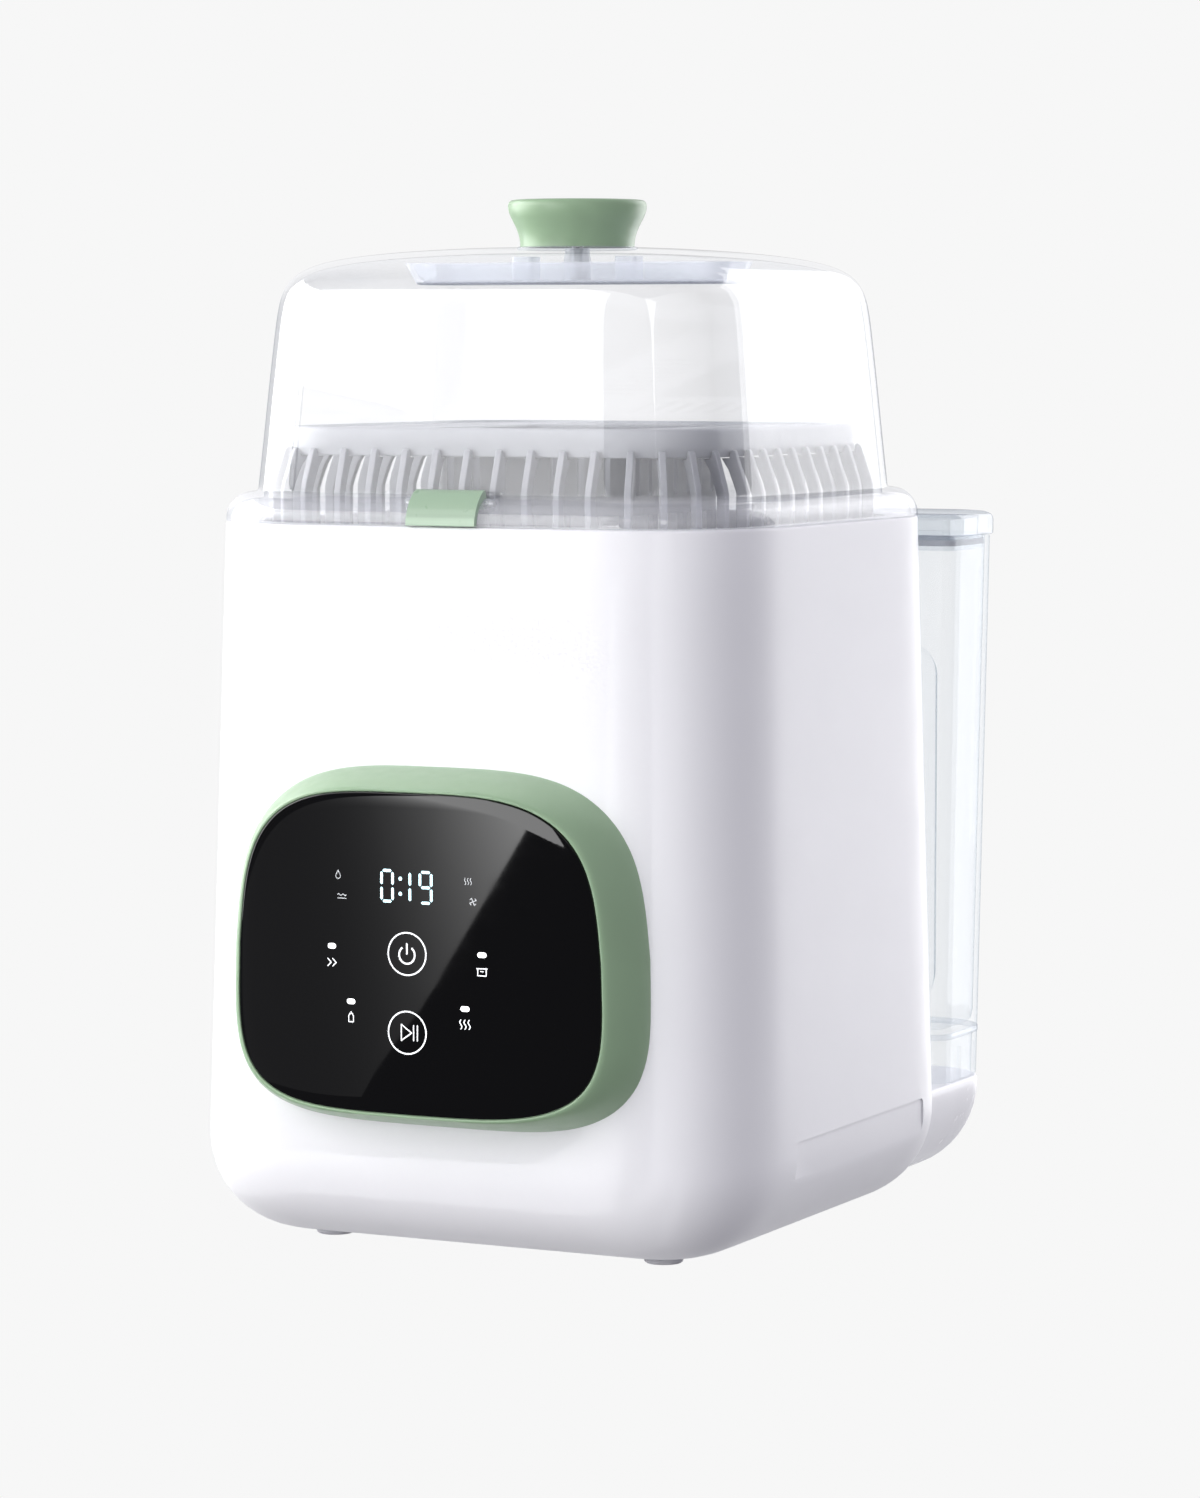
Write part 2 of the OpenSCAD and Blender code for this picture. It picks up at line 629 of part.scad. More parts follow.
// One side wall of the rack, with its half of the corners next to it, turned by a. The walls end in 45° mitres.
module rack_wall(a) rotate(a) {
    for (i = [-4 : 4]) translate([0, 14.2 * i, 0]) rib(0);
    for (s = sign, b = [15, 35]) translate([corner_off, s * corner_off, 0]) rotate(s * b) rib(corner_off);
    intersection() {
        for (ring = [[124, 6], [214, 4], [285, 6]]) frame_ring(rack_half, 42, 4.5, ring[0], ring[1]);
        translate([0, 0, 100]) linear_extrude(250) polygon([[0.1, 0], [150, -149.9], [150, 149.9]]);
    }
}

module rack_front() color("darkgray") rack_wall(-90);
module rack_right() color("darkgray") rack_wall(0);
module rack_back() color("darkgray") rack_wall(90);
module rack_left() color("darkgray") rack_wall(180);

module rack_floor() color("gainsboro") difference() {
    slab(rack_half - 4.5, 37.5, 124, 3);
    four(bottle_xy, bottle_xy) cylinder(r = 10, h = 200);
    translate([0, 0, 100]) cylinder(r = 22, h = 50);
    for (x = [-84 : 12 : 84], y = [-80, 0, 80]) if (abs(abs(x) - bottle_xy) > 22 || y != 0)
        if (abs(x) < 70 || y == 0)
            translate([x - 2.5, y - (y == 0 ? 20 : 11), 120]) cube([5, y == 0 ? 40 : 22, 10]);
}

module rack_feet() color("gainsboro") four(80, 80) translate([0, 0, basin_floor + basin_t + 0.3])
    cylinder(r = 5, h = 124 - basin_floor - basin_t - 0.3);

module bottle_pegs() color("gainsboro") four(bottle_xy, bottle_xy)
    for (a = [45 : 90 : 315]) rotate(a) translate([15, 0, 127]) {
        cylinder(r = 2.2, h = 52, $fn = 24);
        translate([0, 0, 52]) sphere(2.2, $fn = 24);
    }

// ---------------------------------------------------------------- water tanks

tank_top = 286.5;
tank_floor = 68;
tank_in = 3.5;
corner_r = [8, 8, 8, 22];

// One corner post's centre at height z: inner front, outer front, inner back and outer back.
function tank_corner(i, z) =
    let (low = tank_in * (tank_top - z) / (tank_top - dock_z), r = corner_r[i])
    [i % 2 == 0 ? tank_inner + r : tank_side - low - r, i < 2 ? tank_front + r : tank_back - low - r, z];

// The right-hand tank's outer form, grown by g, between two heights.
module tank_solid(g, z0, z1) hull() for (z = [z0, z1 - 1], i = [0 : 3])
    translate(tank_corner(i, z)) cylinder(r = corner_r[i] + g, h = 1);

module tank() difference() {
    tank_solid(0, dock_z + 0.3, tank_top);
    tank_solid(-tank_t, tank_floor + tank_t, tank_top + 1);
    tank_solid(-tank_t, dock_z - 1, tank_floor);
    translate([valve_x, valve_y, tank_floor - 5]) cylinder(r = 4 + run_gap, h = 20);
    for (y = [146, 166]) translate([tank_side - 12, y, dock_z - 1]) cube([20, 2.5, 16]);
}

module valve_cap() translate([valve_x, valve_y, tank_floor - 8]) difference() {
    tube(12, 4 + run_gap, 8);
    translate([0, 0, -1]) tube(9, 6.5, 6);
}

module valve() translate([valve_x, valve_y, tank_floor - 11]) {
    cylinder(r = 4, h = 14);
    translate([0, 0, 11 + tank_t + 0.3]) cylinder(r = 9, h = 3);
}

module tank_lid() {
    hull() {
        for (step = [[0.2, lid_lip - 0.2], [6, lid_lip], [9, 0], [10.5, -4]])
            tank_leaf(step[1], tank_top + step[0]);
    }
    tank_ring(-tank_t - 1, -tank_t - 3, tank_top - 6, 6.3);
}

module tank_leaf(g, z) for (i = [0 : 3]) translate([tank_corner(i, tank_top)[0], tank_corner(i, tank_top)[1], z])
    cylinder(r = corner_r[i] + g, h = 0.01);

// The tank's outline at its top, grown by g, as exact arcs and straight edges.
module tank_plan(g) {
    x = [tank_inner - g, tank_side + g];
    y = [tank_front - g, tank_back + g];
    r = corner_r[0] + g;
    big = corner_r[3] + g;
    translate([x[0] + r, y[0]]) square([x[1] - x[0] - 2 * r, r]);
    translate([x[0], y[0] + r]) square([x[1] - x[0], y[1] - y[0] - r - big]);
    translate([x[0], y[0] + r]) square([x[1] - x[0] - big, y[1] - y[0] - 2 * r]);
    translate([x[0] + r, y[0] + r]) square([x[1] - x[0] - r - big, y[1] - y[0] - r]);
    for (p = [[x[0] + r, y[0] + r], [x[1] - r, y[0] + r], [x[0] + r, y[1] - r]]) translate(p) circle(r);
    translate([x[1] - big, y[1] - big]) circle(big);
}

// A ring between two such outlines.
module tank_ring(outer, inner, z, h) translate([0, 0, z]) linear_extrude(h) difference() {
    tank_plan(outer);
    tank_plan(inner);
}

module lid_seal() tank_ring(-tank_t - 0.3, -tank_t - 0.98, tank_top - 4, 2.5);

module left() mirror([1, 0, 0]) children();

module clean_tank() color("aliceblue", 0.35) tank();
module clean_valve_cap() color("white") valve_cap();
module clean_valve() color("lightgray") valve();
module clean_tank_lid() color("aliceblue", 0.5) tank_lid();
module clean_lid_seal() color("lightgray") lid_seal();
module waste_tank() color("lightgray", 0.35) left() tank();
module waste_valve_cap() color("white") left() valve_cap();
module waste_valve() color("lightgray") left() valve();
module waste_tank_lid() color("lightgray", 0.5) left() tank_lid();
module waste_lid_seal() color("lightgray") left() lid_seal();

// ---------------------------------------------------------------- what is drawn

place() housing();
place() back_column();
place() base_plate();
place() rubber_feet();
place() base_screws();
place() control_bezel();
place() control_glass();
place() display_board();
place() touch_springs();
place() wash_basin();
place() steam_heater();
place() sump_filter();
place() spray_manifold();
place() spray_nozzles();
place() wash_pump_case();
place() wash_pump_motor();
place() wash_impeller();
place() drain_pump_case();
place() drain_pump_motor();
place() drain_impeller();
place() blower_case();
place() blower_motor();
place() blower_wheel();
place() air_heater();
place() air_duct();
place() air_filter();
place() filter_door();
place() filter_door_pin();
place() main_board();
place() board_parts();
place() power_inlet();
place() inlet_pins();
place() supply_hose();
place() drain_hose();
place() clean_dock_seat();
place() waste_dock_seat();
place() lid_dome();
place() lid_gasket();
place() lid_knob();
place() knob_screw();
place() steam_baffle();
place() latch_pin();
place() lid_latch();
place() accessory_tray();
place() parts_basket();
place() rack_front();
place() rack_right();
place() rack_back();
place() rack_left();
place() rack_floor();
place() rack_feet();
place() bottle_pegs();
place() clean_tank();
place() clean_valve_cap();
place() clean_valve();
place() clean_tank_lid();
place() clean_lid_seal();
place() waste_tank();
place() waste_valve_cap();
place() waste_valve();
place() waste_tank_lid();
place() waste_lid_seal();
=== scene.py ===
"""Looks for the bottle sterilizer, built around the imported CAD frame. Lengths are written in millimetres
about the housing's own axis, and at() turns them into the frame's metres."""
import json
import math

import bmesh
import bpy
from mathutils import Matrix, Vector


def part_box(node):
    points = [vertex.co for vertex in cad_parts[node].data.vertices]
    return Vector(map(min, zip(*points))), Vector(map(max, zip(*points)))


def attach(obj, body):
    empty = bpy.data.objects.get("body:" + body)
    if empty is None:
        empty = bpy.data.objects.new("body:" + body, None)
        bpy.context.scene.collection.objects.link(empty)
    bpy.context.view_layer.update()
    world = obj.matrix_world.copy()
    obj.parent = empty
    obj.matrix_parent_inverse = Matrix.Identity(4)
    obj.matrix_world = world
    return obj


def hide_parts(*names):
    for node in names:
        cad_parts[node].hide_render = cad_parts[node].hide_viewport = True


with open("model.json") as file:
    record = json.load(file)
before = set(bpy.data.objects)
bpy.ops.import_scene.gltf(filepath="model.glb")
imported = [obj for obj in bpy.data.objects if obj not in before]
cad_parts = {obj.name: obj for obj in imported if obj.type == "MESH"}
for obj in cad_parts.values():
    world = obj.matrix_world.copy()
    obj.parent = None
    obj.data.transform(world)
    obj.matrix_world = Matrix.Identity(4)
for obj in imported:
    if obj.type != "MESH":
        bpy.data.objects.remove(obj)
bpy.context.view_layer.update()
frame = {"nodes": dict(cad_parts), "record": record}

MM = 0.001
KNOB_LO, KNOB_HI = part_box("lid_knob")
# the housing's axis in the frame, from the knob that stands on it
AXIS_Y = (KNOB_LO[1] + KNOB_HI[1]) / 2 / MM
PI = math.pi
SIDES = (-1, 1)
M = {}          # the materials by name


def at(x, y, z):
    return Vector((x * MM, (y + AXIS_Y) * MM, z * MM))


# ---------------------------------------------------------------------------------------- node helpers

class Net:
    """A node tree, and short ways to add nodes to it."""

    def __init__(self, tree):
        self.nt = tree
        self.coord = None

    def node(self, kind, *feeds, **values):
        """Adds a node. feeds are outputs or plain values for its first inputs, and values go by name."""
        n = self.nt.nodes.new("ShaderNode" + kind)
        for key, value in values.items():
            socket = key.replace("_", " ")
            if socket in n.inputs:
                n.inputs[socket].default_value = value
            else:
                setattr(n, key, value)
        for socket, feed in zip(n.inputs, feeds):
            if isinstance(feed, bpy.types.NodeSocket):
                self.link(feed, socket)
            else:
                socket.default_value = feed
        return n

    def link(self, a, b):
        self.nt.links.new(a, b)

    def xyz(self, vector):
        return self.node("SeparateXYZ", vector).outputs

    def math(self, operation, *feeds):
        return self.node("Math", *feeds, operation=operation).outputs[0]

    def ramp(self, source, stops):
        n = self.node("ValToRGB", source)
        ends = n.color_ramp.elements
        while len(ends) < len(stops):
            ends.new(0.5)
        for e, (place, value) in zip(ends, stops):
            e.position = place
            e.color = (*value, 1) if isinstance(value, tuple) else (value, value, value, 1)
        return n.outputs["Color"]

    def emit(self, strength):
        """Feeds a light's own emission."""
        self.link(strength, next(n for n in self.nt.nodes if n.type == "EMISSION").inputs["Strength"])


class Mat(Net):
    """A material with a Principled shader, whose colour, roughness and surface can vary a little."""

    def __init__(self, name, color, rough=0.4, **sockets):
        self.m = M[name] = bpy.data.materials.new(name)
        self.m.use_nodes = True
        super().__init__(self.m.node_tree)
        self.bsdf = self.nt.nodes["Principled BSDF"]
        self.out = self.nt.nodes["Material Output"]
        self.bsdf.inputs["Base Color"].default_value = (*color, 1)
        self.bsdf.inputs["Roughness"].default_value = rough
        for key, value in sockets.items():
            self.bsdf.inputs[key.replace("_", " ")].default_value = value
        self.color = color

    def place(self):
        if self.coord is None:
            self.coord = self.node("TexCoord").outputs["Object"]
        return self.coord

    def noise(self, scale, detail=3.0, rough=0.5):
        return self.node("TexNoise", self.place(), Scale=scale, Detail=detail, Roughness=rough).outputs["Fac"]

    def mottle(self, scale=40.0, amount=0.03):
        """Colour that wanders a little about the base colour."""
        dark = tuple(c * (1 - amount) for c in self.color)
        light = tuple(min(1, c * (1 + amount)) for c in self.color)
        self.link(self.ramp(self.noise(scale, 4), [(0.3, dark), (0.7, light)]),
                  self.bsdf.inputs["Base Color"])
        return self

    def rough(self, scale=120.0, lo=0.3, hi=0.45):
        self.link(self.ramp(self.noise(scale, 5), [(0.3, lo), (0.7, hi)]), self.bsdf.inputs["Roughness"])
        return self

    def bump(self, scale=1500.0, strength=0.05):
        b = self.node("Bump", Strength=strength, Distance=0.0001)
        self.link(self.noise(scale, 2), b.inputs["Height"])
        self.link(b.outputs["Normal"], self.bsdf.inputs["Normal"])
        return self


def clear(name, tint, edge, rough=0.03, haze=0.03, shine=1.0, top=None, milky=None):
    """Clear moulded plastic: see-through face on, greyer and more mirror-like as it turns away. The grey is
    partly the longer path through the wall and partly painted shade for the dark edges that refraction draws.

    milky is (height, haze): the thicker part below that height in the piece is cloudier.
    """
    m = Mat(name, tint, rough)
    facing = m.node("LayerWeight", Blend=0.5).outputs["Facing"]
    tilt = m.math("ABSOLUTE", m.xyz(m.node("NewGeometry").outputs["Normal"])["Z"])
    middle = tuple(t * 0.9 + e * 0.1 for t, e in zip(tint, edge))
    turning = tuple((t + e) / 2 for t, e in zip(tint, edge))
    upright = m.ramp(facing, [(0.0, tint), (0.62, middle), (0.86, turning), (1.0, edge)])
    top = top or middle
    level_painted_tint = m.ramp(facing, [(0.0, tint), (0.955, top), (0.995, tuple(c * 0.76 for c in top))])
    # painted reflection: level faces, such as the crown, take their own tint (top) at a low view in place of
    # the grey edge, standing in for the room they would mirror, so the lid's crown stays pale
    shade = m.node("MixRGB", m.ramp(tilt, [(0.15, 0.0), (0.45, 1.0)]), upright, level_painted_tint).outputs[0]
    gloss = m.node("BsdfGlossy", (1, 1, 1, 1),
                   m.ramp(m.noise(55, 2), [(0.3, rough * 0.7), (0.7, rough * 1.3)]))
    bump = m.node("Bump", Strength=0.012, Distance=0.0001)
    m.link(m.noise(25, 2), bump.inputs["Height"])
    m.link(bump.outputs["Normal"], gloss.inputs["Normal"])
    mirror = m.ramp(facing, [(place, share * shine) for place, share in (
        (0.0, 0.042), (0.35, 0.05), (0.55, 0.085), (0.74, 0.17), (0.87, 0.12), (1.0, 0.03))])
    calm = m.node("MapRange", m.ramp(tilt, [(0.7, 0.0), (0.92, 1.0)]), To_Min=1.0,
                  To_Max=0.35).outputs["Result"]
    plain = m.node("MixShader", m.math("MULTIPLY", mirror, calm), m.node("BsdfTransparent", shade).outputs[0],
                   gloss.outputs[0])
    if milky:
        height, low_haze = milky
        haze = m.node("MapRange", m.xyz(m.place())["Z"], From_Min=(height - 3) * MM, From_Max=height * MM,
                      To_Min=low_haze, To_Max=haze).outputs["Result"]
    cloud = m.node("BsdfDiffuse", (0.95, 0.96, 0.98, 1))
    last = m.node("MixShader", haze, plain.outputs[0], cloud.outputs[0])
    m.nt.nodes.remove(m.bsdf)
    m.link(last.outputs[0], m.out.inputs["Surface"])


def glow(name, color, strength):
    m = Mat(name, color, 0.4, Emission_Strength=strength)
    m.bsdf.inputs["Emission Color"].default_value = (*color, 1)
    m.rough(300, 0.35, 0.5)


def latch_green_with_painted_top_shade():
    """The latch's green, with painted shade: the colour is darker where a face turns up to the sky."""
    m = Mat("latch_green", (0.44, 0.58, 0.43), 0.3, Coat_Weight=0.15, Coat_Roughness=0.15)
    # painted shade: faces turned up take 0.70 of the green, standing in for how the light falls on the
    # latch's top
    up = m.xyz(m.node("NewGeometry").outputs["Normal"])["Z"]
    green_with_painted_top_shade = m.node("MixRGB", 1.0, m.ramp(up, [(0.12, (1.0, 1.0, 1.0)), (0.3, (0.70, 0.73, 0.70))]),
                   m.ramp(m.noise(60, 4), [(0.3, (0.436, 0.576, 0.426)), (0.7, (0.444, 0.584, 0.434))]),
                   blend_type="MULTIPLY")
    m.link(green_with_painted_top_shade.outputs[0], m.bsdf.inputs["Base Color"])
    m.rough(160, 0.27, 0.33).bump(2400, 0.03)


def basin_finish():
    """The basin's white, whose seal flange above the housing's rim is clear."""
    m = Mat("basin_finish", (0.90, 0.90, 0.905), 0.3).mottle(40, 0.01).rough(120, 0.24, 0.36).bump(2000, 0.08)
    above = m.math("GREATER_THAN", m.xyz(m.node("NewGeometry").outputs["Position"])["Z"], 297.4 * MM)
    seen = m.node("BsdfTransparent", (0.97, 0.973, 0.978, 1))
    mix = m.node("MixShader", above, m.bsdf.outputs[0], seen.outputs[0])
    m.link(mix.outputs[0], m.out.inputs["Surface"])


def surface(name, color, rough, mottle=None, gloss=None, bump=None, **sockets):
    """A solid finish. mottle, gloss and bump hold what Mat's methods for them take."""
    m = Mat(name, color, rough, **sockets)
    for vary, values in ((m.mottle, mottle), (m.rough, gloss), (m.bump, bump)):
        if values:
            vary(*values)


surface("white_shell", (0.86, 0.86, 0.865), 0.33, (30, 0.006), (110, 0.3, 0.37), (1600, 0.04),
        Specular_IOR_Level=0.22)
# painted light: dock_white is the shell's white made lighter (0.93 against 0.86), so the dock and column read
# brighter than the body under the same lamps
surface("dock_white", (0.93, 0.93, 0.935), 0.33, (30, 0.006), (110, 0.2, 0.28), (1600, 0.04),
        Specular_IOR_Level=0.3)
surface("pale_plastic", (0.62, 0.63, 0.65), 0.5, (60, 0.03), (200, 0.42, 0.58), (1800, 0.15))
surface("foot_rubber", (0.5, 0.5, 0.52), 0.6, (150, 0.06), (300, 0.55, 0.75), (2500, 0.3))
surface("sage_plastic", (0.275, 0.40, 0.25), 0.36, (45, 0.02), (160, 0.32, 0.42), (2400, 0.06),
        Coat_Weight=0.1, Coat_Roughness=0.2)
surface("black_glass", (0.0012, 0.0012, 0.0015), 0.03, gloss=(90, 0.02, 0.04), Specular_IOR_Level=0.5)
surface("grey_rack", (0.34, 0.35, 0.375), 0.4, (50, 0.03), (180, 0.34, 0.48), (2200, 0.1))
surface("dark_rack", (0.34, 0.35, 0.37), 0.42, (50, 0.05), (180, 0.36, 0.5), (2200, 0.1))
surface("light_grey", (0.45, 0.463, 0.482), 0.42, (40, 0.015), (150, 0.36, 0.5), (2200, 0.08))
surface("steel", (0.66, 0.66, 0.68), 0.34, (220, 0.06), (400, 0.22, 0.4), (3000, 0.1), Metallic=0.85)
surface("brass", (0.75, 0.58, 0.26), 0.3, (220, 0.08), (400, 0.22, 0.4), Metallic=1.0)
surface("dark_plastic", (0.03, 0.03, 0.033), 0.45, (90, 0.15), (220, 0.38, 0.55), (2000, 0.2))
surface("board_green", (0.012, 0.09, 0.035), 0.35, (300, 0.3), (260, 0.3, 0.45), Coat_Weight=0.4)
surface("ivory_plastic", (0.72, 0.68, 0.56), 0.45, (80, 0.05), (200, 0.38, 0.52), (2000, 0.1))
surface("ceramic_core", (0.5, 0.36, 0.22), 0.7, (120, 0.15), (200, 0.6, 0.8), (900, 0.3))
surface("filter_felt", (0.7, 0.68, 0.6), 0.9, (400, 0.12), bump=(1500, 0.6), Sheen_Weight=0.3)
surface("silicone", (0.55, 0.565, 0.58), 0.5, (60, 0.04), (150, 0.45, 0.6), (1500, 0.12),
        Specular_IOR_Level=0.4)
latch_green_with_painted_top_shade()
basin_finish()
clear("clear_lid", (0.99, 0.99, 0.992), (0.58, 0.60, 0.63), top=(0.985, 0.987, 0.99), milky=(311, 0.15))
clear("clear_part", (0.965, 0.97, 0.98), (0.72, 0.75, 0.78), haze=0.1)
clear("clear_seal", (0.985, 0.987, 0.99), (0.86, 0.87, 0.885), rough=0.2, shine=0.5)
clear("clear_trough", (0.95, 0.965, 0.985), (0.66, 0.70, 0.76), haze=0.24, top=(0.94, 0.955, 0.98))
clear("clear_tank", (0.988, 0.993, 0.996), (0.60, 0.65, 0.70), shine=0.4)
clear("clear_tank_foot", (0.955, 0.965, 0.975), (0.5, 0.55, 0.60), haze=0.1, shine=0.7)
clear("clear_cover", (0.93, 0.945, 0.955), (0.40, 0.44, 0.49), haze=0.05, top=(0.80, 0.82, 0.85))
clear("clear_boss", (0.94, 0.955, 0.98), (0.72, 0.76, 0.82), haze=0.4)
# clear_line is tinted dark: painted shade for the line along the baffle's thick edge
clear("clear_line", (0.52, 0.55, 0.60), (0.22, 0.24, 0.28), haze=0.1)
glow("digit_glow", (0.62, 0.93, 1.0), 1.15)
glow("icon_white", (0.9, 0.92, 0.93), 0.62)
glow("led_white", (1.0, 1.0, 1.0), 1.0)
# painted light: the grey print of the status signs glows faintly (0.35), though print gives no light
glow("print_grey", (0.6, 0.62, 0.63), 0.35)


# ---------------------------------------------------------------------------------------- mesh helpers

def finish(name, bm, body, mat, replaces=(), sharp=38.0, bevel=0.0, flat=False):
    """Turns a bmesh (in millimetres) into a piece that rides on a body."""
    bmesh.ops.remove_doubles(bm, verts=bm.verts, dist=0.0005)
    bmesh.ops.recalc_face_normals(bm, faces=bm.faces)
    for v in bm.verts:
        v.co = at(*v.co)
    for f in bm.faces:
        f.smooth = not flat
    for e in bm.edges:
        if len(e.link_faces) == 2:
            e.smooth = e.calc_face_angle(0) < math.radians(sharp)
    mesh = bpy.data.meshes.new(name)
    bm.to_mesh(mesh)
    bm.free()
    o = bpy.data.objects.new(name, mesh)
    bpy.context.scene.collection.objects.link(o)
    mesh.materials.append(M[mat])
    if bevel:
        b = o.modifiers.new("edges", "BEVEL")
        b.width = bevel * MM
        b.segments = 3
        b.limit_method = "ANGLE"
        b.angle_limit = math.radians(sharp)
        w = o.modifiers.new("normals", "WEIGHTED_NORMAL")
        w.keep_sharp = True
        for e in mesh.edges:
            e.use_edge_sharp = False
    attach(o, body)
    for node in replaces:
        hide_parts(node)
    return o


def rounded(hx, hy, r, z, cx=0.0, cy=0.0, arc=10, side=6, power=2.0):
    """A rounded rectangle's points at height z. r is one radius, or four from (+x+y) anticlockwise.

    A power above 2 eases each corner into its sides and leaves its middle where the radius puts it.
    """
    rs = r if isinstance(r, (tuple, list)) else (r,) * 4
    out = []
    corners = []
    for i, (sx, sy) in enumerate(((1, 1), (-1, 1), (-1, -1), (1, -1))):
        q = max(min(rs[i] * (1 - 0.5 ** 0.5) / (1 - 0.5 ** (1 / power)), hx, hy), 0.01)
        turns = [PI / 2 * k / arc for k in range(arc + 1)]
        bends = [(math.cos(t) ** (2 / power), math.sin(t) ** (2 / power)) if 0 < k < arc
                 else ((1, 0), (0, 1))[k // arc]
                 for k, t in enumerate(turns)]
        if i % 2:
            bends = [(a, b) for b, a in bends]
        corners.append([(cx + sx * (hx - q + q * a), cy + sy * (hy - q + q * b)) for a, b in bends])
    for i in range(4):
        out += corners[i]
        a, b = corners[i][-1], corners[(i + 1) % 4][0]
        out += [(a[0] + (b[0] - a[0]) * k / side, a[1] + (b[1] - a[1]) * k / side) for k in range(1, side)]
    return [(x, y, z) for x, y in out]


def loops_of(bm, rings):
    return [[bm.verts.new(p) for p in ring] for ring in rings]


def skin(bm, a, b):
    """Faces between two loops of equal length."""
    n = len(a)
    for i in range(n):
        bm.faces.new((a[i], a[(i + 1) % n], b[(i + 1) % n], b[i]))


def loft(bm, rings, caps=(True, True), closed=False):
    """Skins a list of rings of equal length, and caps its ends or joins them."""
    loops = loops_of(bm, rings)
    for a, b in zip(loops, loops[1:]):
        skin(bm, a, b)
    if closed:
        skin(bm, loops[-1], loops[0])
        return
    for cap, end in zip(caps, (loops[0], loops[-1])):
        if cap:
            bm.faces.new(end)


def hollow(bm, rings, top):
    """Skins rings that run up the outside and down the inside of a cover, with caps after the ring top."""
    loops = loops_of(bm, rings)
    for i, (a, b) in enumerate(zip(loops, loops[1:] + loops[:1])):
        if i == top:
            bm.faces.new(a)
            bm.faces.new(b[::-1])
        else:
            skin(bm, a, b)


def lathe(bm, profile, centre=(0, 0), n=96):
    """Turns (radius, z) points about a vertical axis. Points of radius 0 close the ends."""
    rings = [[(centre[0] + r * math.cos(2 * PI * k / n), centre[1] + r * math.sin(2 * PI * k / n), z)
              for k in range(n)] for r, z in profile if r > 0]
    loft(bm, rings)


def smooth_curve(points, steps=6):
    """Catmull-Rom through points of any dimension."""
    out = []
    for i in range(len(points) - 1):
        p = [points[max(i - 1, 0)], points[i], points[i + 1], points[min(i + 2, len(points) - 1)]]
        for k in range(steps):
            t = k / steps
            out.append(tuple(0.5 * (2 * b + (c - a) * t + (2 * a - 5 * b + 4 * c - d) * t * t
                                    + (3 * b - a - 3 * c + d) * t ** 3) for a, b, c, d in zip(*p)))
    out.append(tuple(points[-1]))
    return out


def block(bm, lo, hi):
    """An upright box between two corners."""
    v = [bm.verts.new((x, y, z)) for x in (lo[0], hi[0]) for y in (lo[1], hi[1]) for z in (lo[2], hi[2])]
    for f in ((0, 1, 3, 2), (4, 6, 7, 5), (0, 4, 5, 1), (2, 3, 7, 6), (0, 2, 6, 4), (1, 5, 7, 3)):
        bm.faces.new([v[i] for i in f])


def prism(bm, points, lift, turn=None):
    """A flat outline (a list of 3-D points) carried along the vector lift."""
    pts = [Vector(p) for p in points]
    if turn is not None:
        pts = [turn @ p for p in pts]
        lift = turn @ Vector(lift)
    a = [bm.verts.new(p) for p in pts]
    b = [bm.verts.new(p + Vector(lift)) for p in pts]
    skin(bm, a, b)
    bm.faces.new(a[::-1])
    bm.faces.new(b)


def cut(bm, cutter):
    """bm with the cutter's volume taken out, both in millimetres. Returns a new bmesh."""
    objs = []
    for b in (bm, cutter):
        bmesh.ops.recalc_face_normals(b, faces=b.faces)
        mesh = bpy.data.meshes.new("work")
        b.to_mesh(mesh)
        b.free()
        o = bpy.data.objects.new("work", mesh)
        bpy.context.scene.collection.objects.link(o)
        objs.append(o)
    mod = objs[0].modifiers.new("cut", "BOOLEAN")
    mod.operation = "DIFFERENCE"
    mod.solver = "EXACT"
    mod.object = objs[1]
    result = bmesh.new()
    result.from_object(objs[0], bpy.context.evaluated_depsgraph_get())
    for o in objs:
        mesh = o.data
        bpy.data.objects.remove(o)
        bpy.data.meshes.remove(mesh)
    return result


# ---------------------------------------------------------------------------------------- camera

CAM_AZ, CAM_PITCH = math.radians(26.53), math.radians(4.73)
camera = bpy.data.objects.new("camera", bpy.data.cameras.new("camera"))
bpy.context.scene.collection.objects.link(camera)
camera.location = at(929.94, -1862.64, 372.22)
camera.rotation_euler = (PI / 2 - CAM_PITCH, 0, CAM_AZ)
camera.data.sensor_width = 36
camera.data.lens = 36 * 4957.3 / 1498
camera.data.shift_x = 22.5 / 1498
camera.data.clip_start = 0.05
camera.data.clip_end = 50
bpy.context.scene.camera = camera

# ---------------------------------------------------------------------------------------- housing

RIM_Z, BODY_HALF, FLARE, BODY_R, FILLET, FOOT_H = 297.5, 121.5, 6.8, 52.0, 41.0, 4.0


def half_at(z):
    return BODY_HALF + FLARE * (RIM_Z - z) / (RIM_Z - FOOT_H)


def body_ring(z, inward, r=None):
    h = half_at(z) - inward
    return rounded(h, h, BODY_R - inward if r is None else r, z, arc=18, side=8, power=2.5)


